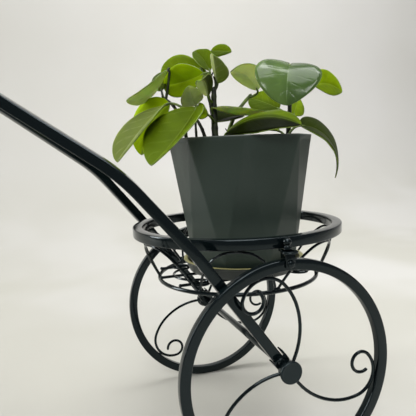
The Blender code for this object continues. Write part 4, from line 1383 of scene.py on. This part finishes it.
# %% Saucer
saucer_base = basket_height + basket_rod_radius + 2.0 * gap + 2.0 * floor_rod_radius
saucer_top_radius = 0.0645
saucer_base_radius = 0.0585
saucer_wall = 0.0022
saucer_height = 0.0125
saucer_softness = 0.0012
saucer_outline = (
    (0.0, saucer_wall),
    (saucer_base_radius - saucer_wall, saucer_wall),
    (saucer_top_radius - 2.0 * saucer_wall, saucer_height),
    (saucer_top_radius, saucer_height),
    (saucer_top_radius, saucer_height - saucer_wall / 2.0),
    (saucer_top_radius - saucer_wall, saucer_height - saucer_wall),
    (saucer_base_radius, saucer_wall / 2.0),
    (saucer_base_radius - saucer_wall / 2.0, 0.0),
    (0.0, 0.0),
)
saucer_place = Matrix.Translation((pot_x, 0.0, saucer_base))
saucer_mesh = spun(softened(saucer_outline, saucer_softness), saucer_place, steps=96)
stand_in("saucer_fine", saucer_mesh, "saucer", "saucer", "saucer_plastic")
print("saucer stands at", round(saucer_base, 4))

# %% [markdown]
# ## Soil
# Potting soil is a lumpy bed with chips of bark on it. A grid is cut to the pot's inside and
# pressed by noise to make the bed, and some ninety rough chips lie on it.

# %% Soil bed
soil_top = 0.2975
soil_depth = 0.030
soil_inset = pot_wall + 0.0006
soil_sink = 0.0012
soil_lump_height = 0.0030
soil_lump_scale = 70.0
soil_crumb_height = 0.0011
soil_crumb_scale = 260.0
soil_cells = 88
parallel_limit = 1e-12
corner_slack = 1e-6


def pot_reach(angle, height, inset):
    """How far the pot's inside reaches from its axis at this bearing and height."""
    share = (height - pot_base_height) / (pot_top_height - pot_base_height)
    points = pot_corners(share, inset)
    way = Vector((math.cos(angle), math.sin(angle)))
    best = pot_top_radius
    for first, second in zip(points, points[1:] + points[:1]):
        side = second - first
        spread = way.x * side.y - way.y * side.x
        if abs(spread) < parallel_limit:
            continue
        along = (first.x * side.y - first.y * side.x) / spread
        side_share = (first.x * way.y - first.y * way.x) / spread
        if along > 0.0 and -corner_slack <= side_share <= 1.0 + corner_slack:
            best = min(best, along)
    return best


def soil_height(x, y):
    """The height of the lumpy bed at this place beside the pot's axis."""
    spot = Vector((x, y, 0.0))
    lump, crumb = noise.noise(spot * soil_lump_scale), noise.noise(spot * soil_crumb_scale)
    return soil_top - soil_sink + soil_lump_height * lump + soil_crumb_height * crumb


def soil_bed():
    """A grid cut to the pot, drawn down to a flat foot and pressed into lumps."""
    bm = bmesh.new()
    size = pot_top_radius
    bmesh.ops.create_grid(bm, x_segments=soil_cells, y_segments=soil_cells, size=size)
    cell = 2.0 * size / soil_cells
    outside = []
    for vert in bm.verts:
        radius = vert.co.length
        limit = pot_reach(math.atan2(vert.co.y, vert.co.x), soil_top - soil_depth, soil_inset)
        if radius > limit + cell:
            outside.append(vert)
        elif radius > limit:
            vert.co *= limit / radius
    bmesh.ops.delete(bm, geom=outside, context="VERTS")
    grown = bmesh.ops.extrude_face_region(bm, geom=list(bm.faces))["geom"]
    top = {item for item in grown if isinstance(item, bmesh.types.BMVert)}
    for vert in bm.verts:
        vert.co.z = soil_height(vert.co.x, vert.co.y) if vert in top else soil_top - soil_depth
    bmesh.ops.translate(bm, verts=bm.verts, vec=(pot_x, 0.0, 0.0))
    bmesh.ops.recalc_face_normals(bm, faces=bm.faces)
    return bm


soil = stand_in("soil_bed", soil_bed(), "pot", "soil", "soil", sharp=80.0)
print("soil:", len(soil.data.polygons), "faces")

# %% [markdown]
# ### Bark chips
# A bed alone looks like clay, so rough chips lie on it. Each is a small icosphere that is
# stretched, roughened by noise and tilted. They share one mesh, because ninety separate pieces
# would slow the scene down for no gain.

# %% Bark chips
chip_count = 90
chip_spread = 0.062
chip_sizes = (0.0012, 0.0030)
chip_stretches = ((0.8, 2.1), (0.6, 1.1), (0.35, 0.8))
chip_tilt = 0.6
chip_roughness_share = 0.35
chip_roughness_scale = 500.0
chip_rise_share = 0.25


def bark_chips():
    """Rough stretched lumps that lie on the bed, all in one piece."""
    bm = bmesh.new()
    draw = random.Random(11)
    for _ in range(chip_count):
        angle = draw.uniform(0.0, math.tau)
        radius = chip_spread * math.sqrt(draw.random())
        size = draw.uniform(*chip_sizes)
        verts = bmesh.ops.create_icosphere(bm, subdivisions=1, radius=size)["verts"]
        stretch = Vector([draw.uniform(*limits) for limits in chip_stretches])
        seed = Vector((angle, radius, 0.0))
        for vert in verts:
            vert.co = Vector([a * b for a, b in zip(vert.co, stretch)])
            rough = noise.noise(vert.co * chip_roughness_scale + seed)
            vert.co *= 1.0 + chip_roughness_share * rough
        x, y = radius * math.cos(angle), radius * math.sin(angle)
        turn = Matrix.Rotation(draw.uniform(0.0, math.tau), 4, "Z")
        turn = turn @ Matrix.Rotation(draw.uniform(-chip_tilt, chip_tilt), 4, "X")
        height = soil_height(x, y) + size * chip_rise_share
        spot = Matrix.Translation((pot_x + x, y, height))
        bmesh.ops.transform(bm, matrix=spot @ turn, verts=verts)
    return bm


chips = piece("bark_chips", bark_chips(), "pot", [potting_soil], sharp=40.0)
print("bark chips:", chip_count)

# %% [markdown]
# ## The plant
# Every leaf is one grid bent into a blade: it starts as narrow as its stalk, is broadest before
# its middle, folds along its midrib and droops towards its tip. The table gives each leaf's
# place and turns, and its last two columns give each half's level of youth and painted light:
# how young and yellow it is, and how bright it is painted as if lit. Below 0 a half is painted
# in deep shade.

# %% Stems and leaves as tables
plant_spread = 0.100
leaf_length = 0.060
leaf_half_width = 0.020
leaf_thickness = 0.0011
stalk_radius = 0.0012
shoot_radius = 0.0020
stalk_foot_share = 0.06
blade_lean = 0.86
blade_fullness = 0.66
heart_depth = 0.13

stems = {
    "main": (1.9, ((-0.30, -0.08, 0.0), (-0.30, -0.06, 0.33), (-0.29, -0.05, 0.60))),
    "tall": (1.0, ((-0.24, 0.08, 0.0), (-0.27, 0.10, 0.40), (-0.32, 0.13, 0.72))),
    "rear": (
        1.0,
        ((-0.53, 0.15, 0.0), (-0.57, 0.15, 0.28), (-0.66, 0.18, 0.46), (-0.75, 0.26, 0.56)),
    ),
    "left": (1.0, ((-0.40, -0.14, 0.0), (-0.46, -0.14, 0.20), (-0.52, -0.12, 0.32))),
    "slim": (0.75, ((-0.41, 0.20, 0.0), (-0.42, 0.20, 0.28), (-0.41, 0.20, 0.42))),
    "middle": (1.25, ((-0.08, 0.28, 0.0), (0.06, 0.28, 0.35), (0.25, 0.26, 0.58))),
    "right": (1.4, ((0.56, 0.0, 0.0), (0.58, -0.02, 0.32), (0.56, -0.10, 0.76))),
    "front": (1.0, ((-0.27, -0.32, 0.0), (-0.29, -0.33, 0.08))),
    "low": (1.0, ((0.44, -0.14, 0.0), (0.50, -0.15, 0.12))),
}

# Stem, joint, foot, heading, pitch, droop, roll, length, width, fold, youth and painted light of
# each half
leaves = (
    ("left", 0.95, (-0.54, -0.24, 0.41), -144.0, -45.0, -16.0, 1.0, 1.47, 1.63, 29.0, 0.12, 0.15),
    ("left", 0.85, (-0.82, -0.02, 0.44), -155.0, -36.0, 13.0, 7.0, 1.30, 1.54, 18.0, -0.22, -0.22),
    ("slim", 0.97, (-0.41, 0.20, 0.47), -115.0, -2.0, -37.0, 24.0, 0.84, 0.63, 17.0, 1.00, 0.60),
    ("rear", 0.60, (-0.71, 0.14, 0.48), 136.0, -28.0, 52.0, -71.0, 1.10, 1.25, 21.0, 0.17, 1.00),
    ("rear", 0.90, (-0.70, 0.22, 0.82), -167.0, -63.0, -60.0, 25.0, 0.98, 1.05, 8.0, 0.82, 0.82),
    ("rear", 0.97, (-0.73, 0.38, 0.64), 88.0, 56.0, 50.0, -39.0, 0.67, 0.52, 8.0, -0.45, -0.45),
    ("tall", 0.90, (-0.27, 0.22, 0.81), 116.0, -3.0, -29.0, -83.0, 1.26, 1.20, 33.0, 0.30, 0.32),
    ("tall", 0.75, (-0.39, -0.04, 0.76), 124.0, -14.0, -15.0, -93.0, 0.92, 1.04, 38.0, 0.51, 1.00),
    ("tall", 0.97, (-0.29, 0.06, 0.81), 98.0, 52.0, 28.0, -26.0, 0.70, 0.60, 35.0, 0.00, 0.11),
    ("tall", 0.98, (-0.18, 0.30, 1.05), -40.0, 2.0, 18.0, 55.0, 0.39, 0.43, 14.0, 0.20, 0.00),
    ("main", 0.96, (-0.25, -0.06, 0.67), -115.0, 31.0, 5.0, -41.0, 0.72, 0.72, 37.0, 0.02, 0.35),
    ("main", 0.75, (-0.38, -0.12, 0.53), -116.0, 42.0, 60.0, 30.0, 0.80, 0.48, 26.0, -0.75, 1.00),
    ("main", 0.40, (-0.40, -0.16, 0.34), 90.0, 9.0, -35.0, -73.0, 0.52, 0.50, 40.0, 1.00, 1.00),
    ("main", 0.50, (-0.32, -0.12, 0.41), -9.0, -23.0, -37.0, 0.0, 0.98, 1.08, 16.0, 0.20, 1.00),
    ("main", 0.30, (-0.26, -0.04, 0.28), 37.0, 17.0, 16.0, 20.0, 0.82, 0.82, 20.0, -0.80, -0.80),
    ("middle", 0.95, (0.31, 0.20, 0.63), -152.0, 52.0, 60.0, 25.0, 0.80, 0.80, 24.0, 1.00, 0.95),
    ("right", 0.95, (0.51, -0.18, 0.84), -125.0, -20.0, 70.0, -12.0, 0.95, 1.70, 13.0, 0.06, 0.30),
    ("right", 0.70, (0.95, 0.08, 0.67), 11.0, 19.0, 55.0, 63.0, 0.75, 0.90, 14.0, 0.69, 0.25),
    ("right", 0.40, (0.60, 0.26, 0.43), 106.0, 23.0, 8.0, -48.0, 0.90, 0.88, 21.0, -0.19, 0.21),
    ("right", 0.30, (0.81, 0.30, 0.36), 52.0, 31.0, 6.0, 40.0, 0.80, 0.60, 5.0, 0.35, 0.45),
    ("front", 0.90, (-0.28, -0.34, 0.15), -42.0, 38.0, 70.0, 25.0, 1.30, 1.36, -5.0, 0.15, -1.00),
    ("low", 0.95, (0.65, -0.14, 0.215), -4.0, 0.0, 110.0, 30.0, 1.38, 1.68, 6.0, -0.62, -0.72),
    ("low", 0.50, (0.41, -0.10, 0.165), 122.0, 12.0, 8.0, -4.0, 0.46, 0.50, 19.0, 0.40, 0.40),
)
print("stems:", len(stems), "leaves:", len(leaves))

# %% Where a leaf goes
def plant_point(shares):
    """A place in the plant, by shares of its spread from the middle of the soil's top."""
    return Vector((pot_x, 0.0, soil_top)) + Vector(shares) * plant_spread


class Blade:
    """The way one leaf runs: its direction, its midline and its cross-sections."""

    def __init__(self, foot, heading, pitch, droop, roll, length, width, fold):
        self.foot = plant_point(foot)
        self.turn = math.radians(heading)
        self.pitch, self.droop, self.roll = pitch, droop, math.radians(roll)
        self.length = length * leaf_length
        self.fold = math.radians(fold)
        self.half_width = width * leaf_half_width * math.cos(self.fold)

    def ahead(self, share):
        angle = math.radians(self.pitch - self.droop * share)
        flat = math.cos(angle)
        return Vector((math.cos(self.turn) * flat, math.sin(self.turn) * flat, math.sin(angle)))

    def sides(self, share):
        ahead = self.ahead(share)
        level = Vector((-math.sin(self.turn), math.cos(self.turn), 0.0))
        up = ahead.cross(level)
        side = level * math.cos(self.roll) + up * math.sin(self.roll)
        side = (side - ahead * side.dot(ahead)).normalized()
        return side, ahead.cross(side)

    def midline(self, share, steps=24):
        centre = self.foot.copy()
        for step in range(steps):
            centre += self.ahead(share * (step + 0.5) / steps) * self.length * share / steps
        return centre

    def reach(self, share):
        """Half the width here: the stalk's at the foot, full in the middle, none at the tip."""
        if share >= 1.0:
            return 0.0
        full = math.sin(math.pi * share**blade_lean) ** blade_fullness
        return max(stalk_radius * (1.0 - share), self.half_width * full)


print("the plant's foot is at", tuple(round(level, 3) for level in plant_point((0.0, 0.0, 0.0))))

# %% [markdown]
# ### Blades
# A blade has two halves that fold along a grooved midrib, and its edge is never quite even. The
# grid's rows crowd towards the foot and the tip, where the outline turns most, and its columns
# towards the fold. Solidify then gives the blade its flesh, and its upper side, its underside
# and its cut edge a finish each.

# %% Grow the blades
blade_rows = 40
blade_columns = 18
fold_softness = 0.0016
groove_depth = 0.0005
groove_width = 0.0012
wave_height = 0.0020
wave_scales = (2.2, 1.3)
wave_seed_step = 3.7
ripple_height = 0.0006
ripple_scales = (6.0, 2.0)
ripple_seed_step = 1.9
ripple_first_seed = 40.0
edge_curl = 0.0016
row_crowding = 0.55
column_crowding = 1.25
half_blending = 4.0
other_uppers = {"leaf_right_1": leaf_old, "leaf_left_2": leaf_under}


def unevenness(share, across, scales, seed):
    """Noise over a blade, with one scale along it and one across it."""
    return noise.noise(Vector((share * scales[0], across * scales[1], seed)))


def blade_sheet(blade, seed, lobes):
    """A grid bent into the leaf, with a UV map that runs along and across it."""
    bm = bmesh.new()
    layer = bm.loops.layers.uv.new("blade")
    wave_seed = seed * wave_seed_step
    ripple_seed = seed * ripple_seed_step + ripple_first_seed
    bmesh.ops.create_grid(bm, x_segments=blade_rows, y_segments=blade_columns, size=0.5)
    where = {}
    for vert in bm.verts:
        along = vert.co.x + 0.5
        share = along - row_crowding * math.sin(math.tau * along) / math.tau
        across = math.copysign(abs(2.0 * vert.co.y) ** column_crowding, vert.co.y)
        where[vert] = (share, across)
        side, up = blade.sides(share)
        out = blade.reach(share) * across
        swell = math.sin(math.pi * share)
        rise = math.tan(blade.fold) * (math.hypot(out, fold_softness) - fold_softness)
        rise -= groove_depth * math.exp(-((out / groove_width) ** 2)) * swell
        wave = unevenness(share, across, wave_scales, wave_seed)
        ripple = unevenness(share, across, ripple_scales, ripple_seed)
        rise += (wave_height * wave + ripple_height * ripple) * abs(across) * swell
        rise -= edge_curl * across**4 * swell
        back = lobes * blade.length * across**2 * (1.0 - share) ** 4
        vert.co = blade.midline(share) + side * out + up * rise - blade.ahead(share) * back
    for face in bm.faces:
        for loop in face.loops:
            share, across = where[loop.vert]
            loop[layer].uv = (share, (across + 1.0) / 2.0)
    bmesh.ops.remove_doubles(bm, verts=bm.verts, dist=merge_distance)
    return bm


def grow_leaf(name, blade, left_youth_and_painted_light, right_youth_and_painted_light, seed):
    """One leaf with its flesh, its three finishes and the level of youth and painted light of its
    halves.
    """
    upper = other_uppers.get(name, leaf_upper)
    sheet = blade_sheet(blade, seed, heart_depth if upper is leaf_old else 0.0)
    middle = sheet.faces[:][len(sheet.faces) // 2]
    sheet.normal_update()
    if middle.normal.dot(blade.sides(0.5)[1]) < 0.0:
        bmesh.ops.reverse_faces(sheet, faces=sheet.faces)
    made = piece(name, sheet, "pot", [upper, leaf_under, leaf_rim], sharp=180.0)
    flesh = made.modifiers.new("Flesh", "SOLIDIFY")
    flesh.thickness = leaf_thickness
    flesh.offset = 0.0
    flesh.material_offset = 1
    flesh.material_offset_rim = 2
    evaluated(made)
    halves = [0.5] * len(made.data.vertices)
    for loop, corner in zip(made.data.loops, made.data.uv_layers["blade"].uv):
        halves[loop.vertex_index] = corner.vector.y
    shares = [min(1.0, max(0.0, (half - 0.5) * half_blending + 0.5)) for half in halves]
    # Each half's level mixes youth with painted light, and below zero it paints deep shade.
    youth_and_painted_light_levels = [right_youth_and_painted_light + (left_youth_and_painted_light - right_youth_and_painted_light) * share for share in shares]
    level = made.data.attributes.new("youth_and_painted_light", "FLOAT", "POINT")
    level.data.foreach_set("value", youth_and_painted_light_levels)


print("each blade has", blade_rows, "by", blade_columns, "cells")

# %% [markdown]
# ### Stalks and stems
# Both are wires whose thickness changes along them. A stem tapers upwards, with a knuckle where
# each old leaf stood. A stalk bends once, from the stem into the line of its blade, so that the
# blade seems to grow out of it.

# %% Stalks and stems
stalk_bend_share = 0.5
stalk_base_share = 1.25
stalk_taper_share = 0.35
stalk_end_share = 0.7
stem_taper_share = 0.35
stem_bury = 0.004
stem_tip_reach = 0.8
stem_tip_share = 0.25
knuckle_share = 0.10
knuckle_spacing = 8.0
knuckle_sharpness = 8
bud_start_share = 0.25
bud_thin_share = 0.35


def stalk_run(joint, blade, steps=10):
    """From the stem in one easy bend to the blade's foot."""
    bend = blade.foot - blade.ahead(0.0) * (blade.foot - joint).length * stalk_bend_share
    points = []
    radii = []
    for step in range(steps + 1):
        share = step / steps
        points.append(joint.lerp(bend, share).lerp(bend.lerp(blade.foot, share), share))
        radii.append(stalk_radius * (stalk_base_share - stalk_taper_share * step / steps))
    points.append(blade.midline(stalk_foot_share))
    return points, radii + [stalk_radius * stalk_end_share]


def stem_run(radius, shares):
    """A stem that tapers upwards, with a knuckle where each old leaf stood."""
    points = smooth_run([plant_point(share) for share in shares], steps=12)
    points[0].z -= stem_bury
    tip_way = (points[-1] - points[-2]).normalized()
    points.append(points[-1] + tip_way * radius * stem_tip_reach)
    count = len(points) - 1
    radii = []
    for number in range(count + 1):
        wave = math.cos(math.tau * number / knuckle_spacing)
        knuckle = knuckle_share * wave**knuckle_sharpness
        radii.append(radius * (1.0 - stem_taper_share * number / count + knuckle))
    radii[-1] = radius * stem_tip_share
    return points, radii


def tapered_run(radius_share, shares):
    """A bud or a stub: thickest a third of the way up, and thin at its tip."""
    points = smooth_run([plant_point(share) for share in shares])
    count = len(points) - 1
    radii = []
    for number in range(count + 1):
        way = bud_start_share + (1.0 - bud_start_share) * number / count
        swell = math.sin(math.pi * min(1.0, way))
        thickness = bud_thin_share + (1.0 - bud_thin_share) * swell
        radii.append(shoot_radius * radius_share * thickness)
    return points, radii


# Thickness and points of the dark buds on the main stem and of the dead stubs in the soil
buds = (
    (
        0.70,
        ((-0.30, -0.05, 0.58), (-0.33, -0.05, 0.66), (-0.315, -0.05, 0.73), (-0.29, -0.05, 0.775)),
    ),
    (
        0.95,
        (
            (-0.285, -0.05, 0.59),
            (-0.262, -0.05, 0.64),
            (-0.268, -0.05, 0.69),
            (-0.29, -0.05, 0.735),
        ),
    ),
)
stubs = (
    (
        0.55,
        ((-0.15, -0.05, -0.02), (-0.175, -0.05, 0.10), (-0.15, -0.05, 0.16), (-0.18, -0.05, 0.21)),
    ),
    (0.40, ((-0.165, -0.05, 0.12), (-0.14, -0.05, 0.16), (-0.115, -0.05, 0.20))),
    (1.10, ((-0.09, 0.02, -0.02), (-0.07, 0.02, 0.10), (-0.09, 0.02, 0.185))),
    (1.30, ((0.04, 0.05, -0.02), (0.01, 0.05, 0.11), (0.035, 0.05, 0.20))),
)
print("buds:", len(buds), "stubs:", len(stubs))

# %% Grow the shoots
green_stems = ("middle",)
dark_stalks = ("rear",)


def joint_on(path, place):
    """The point at this share of the way up a stem's points."""
    way = place * (len(path) - 1)
    lower = min(int(way), len(path) - 2)
    return path[lower].lerp(path[lower + 1], way - lower)


def painted(runs, number):
    """Wires along these runs, all in the material slot of this number."""
    bm = swept(runs, rounding=3)
    for face in bm.faces:
        face.material_index = number
    return bm


seed = 0
for label, (radius_share, shares) in stems.items():
    runs = [stem_run(shoot_radius * radius_share, shares)]
    if label == "main":
        runs += [tapered_run(*row) for row in buds + stubs]
    stalks = []
    path = [plant_point(share) for share in shares]
    for row in leaves:
        if row[0] != label:
            continue
        blade = Blade(*row[2:10])
        stalks.append(stalk_run(joint_on(path, row[1]), blade))
        seed += 1
        grow_leaf(f"leaf_{label}_{len(stalks)}", blade, row[10], row[11], seed)
    wood = painted(runs, int(label in green_stems))
    grown = absorb(wood, [painted(stalks, int(label not in dark_stalks))])
    shoot = piece(f"stem_{label}", grown, "pot", [stem_bark, stalk_green], sharp=60.0)
    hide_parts(f"shoot_{label}")
print("plant grown:", seed, "leaves")

# %% [markdown]
# ## Paint what stays
# The solids whose shape is already right keep their mesh and get the finish of their slot.

# %% Paint the solids that stay
for row in frame["record"]["subparts"]:
    node = frame["nodes"][row["node"]]
    for holder in node.material_slots:
        holder.material = slot_finish[row["material_slot"]]
print("solids painted")

# %% [markdown]
# ## Floor, backdrop and lamps
# A sheet of pale paper curves up behind the stand, as in a small studio. One broad lamp hangs
# above it and one stands in front. A tall lamp at the left and behind brings out the pot's facets
# and the black tubes' edges, a faint one does so at the right, and the last lights the paper.

# %% Backdrop
sheet_half_width = 4.0
sheet_front = -1.1
sheet_back = 1.5
sheet_curve = 0.7
sheet_top = 3.0
sheet_curve_steps = 16
wall_heights = (0.0, 0.3)
# Where the painted shade towards the left begins and is full
painted_shade_leftward_places = (0.9, -1.2)


def backdrop_finish():
    """Paper, a little uneven in tone and greyer on the floor, with painted shade that darkens it
    towards the left.
    """
    finish = Finish("studio_paper")
    patches = finish.cloud(1.6, 3.0)
    wall_tone = finish.mix(patches.ease(0.35, 0.65), (0.68, 0.67, 0.63), (0.71, 0.70, 0.67))
    floor_tone = finish.mix(patches.ease(0.40, 0.60), (0.62, 0.61, 0.545), (0.71, 0.70, 0.66))
    toned = finish.mix(finish.height().ease(*wall_heights), floor_tone, wall_tone)
    # Painted shade darkens the paper towards the left.
    painted_shade_leftward = finish.part(finish.place(), 0).ease(*painted_shade_leftward_places)
    finish.set(Base_Color=finish.mix(painted_shade_leftward * 0.75, toned, (0.27, 0.265, 0.23)))
    finish.set(Roughness=patches * 0.2 + 0.7)
    return finish.material


def backdrop_mesh():
    """A line along the floor and up the wall, drawn out sideways into a sheet."""
    centre = sheet_back - sheet_curve
    line = [Vector((0.0, sheet_front, 0.0)), Vector((0.0, centre, 0.0))]
    for step in range(1, sheet_curve_steps + 1):
        angle = math.radians(90.0 * step / sheet_curve_steps)
        y, z = centre + sheet_curve * math.sin(angle), sheet_curve * (1.0 - math.cos(angle))
        line.append(Vector((0.0, y, z)))
    line.append(Vector((0.0, sheet_back, sheet_top)))
    bm = bmesh.new()
    rows = [bm.verts.new(point) for point in line]
    edges = [bm.edges.new(pair) for pair in zip(rows, rows[1:])]
    bmesh.ops.translate(bm, verts=bm.verts, vec=(-sheet_half_width, 0.0, 0.0))
    grown = bmesh.ops.extrude_edge_only(bm, edges=edges)["geom"]
    moved = [item for item in grown if isinstance(item, bmesh.types.BMVert)]
    bmesh.ops.translate(bm, verts=moved, vec=(2.0 * sheet_half_width, 0.0, 0.0))
    bmesh.ops.recalc_face_normals(bm, faces=bm.faces)
    return bm


backdrop = linked("backdrop", backdrop_mesh(), [backdrop_finish()])
print("backdrop:", len(backdrop.data.polygons), "faces")

# %% Lamps and world
stand_middle = (0.1, 0.0, 0.25)
wall_middle = (1.2, 1.5, 0.7)
sky_colour = (0.95, 0.96, 1.0, 1.0)
sky_strength = 0.20

# Name, place, aim, width, height and power in watts
lamps = (
    ("top_lamp", (0.2, 0.0, 2.2), stand_middle, 1.6, 1.3, 25.0),
    ("front_lamp", (-0.4, -1.8, 1.9), stand_middle, 1.2, 0.8, 27.0),
    ("left_lamp", (-1.4, 0.70, 0.75), stand_middle, 0.45, 1.3, 24.0),
    ("right_lamp", (1.6, 0.35, 0.75), stand_middle, 0.30, 1.2, 0.6),
    ("wall_lamp", (1.0, 0.1, 1.9), wall_middle, 1.2, 0.6, 12.0),
)


def lamp(name, place, aim, width, height, power):
    """A soft square lamp that shines at a point."""
    data = bpy.data.lights.new(name, "AREA")
    data.shape = "RECTANGLE"
    data.size = width
    data.size_y = height
    data.energy = power
    made = bpy.data.objects.new(name, data)
    bpy.context.scene.collection.objects.link(made)
    made.location = place
    made.rotation_euler = (Vector(aim) - Vector(place)).to_track_quat("-Z", "Y").to_euler()


for row in lamps:
    lamp(*row)
world = bpy.data.worlds.new("studio")
world.use_nodes = True
sky = world.node_tree.nodes["Background"].inputs
sky["Color"].default_value = sky_colour
sky["Strength"].default_value = sky_strength
bpy.context.scene.world = world
print("lamps lit:", len(lamps))

# %% [markdown]
# ## The end
# The outline curve that shaped the square tube was only a guide, so it is removed. The
# dressed part has to stay in the box of the solids.

# %% The end
bpy.data.objects.remove(tube_outline)
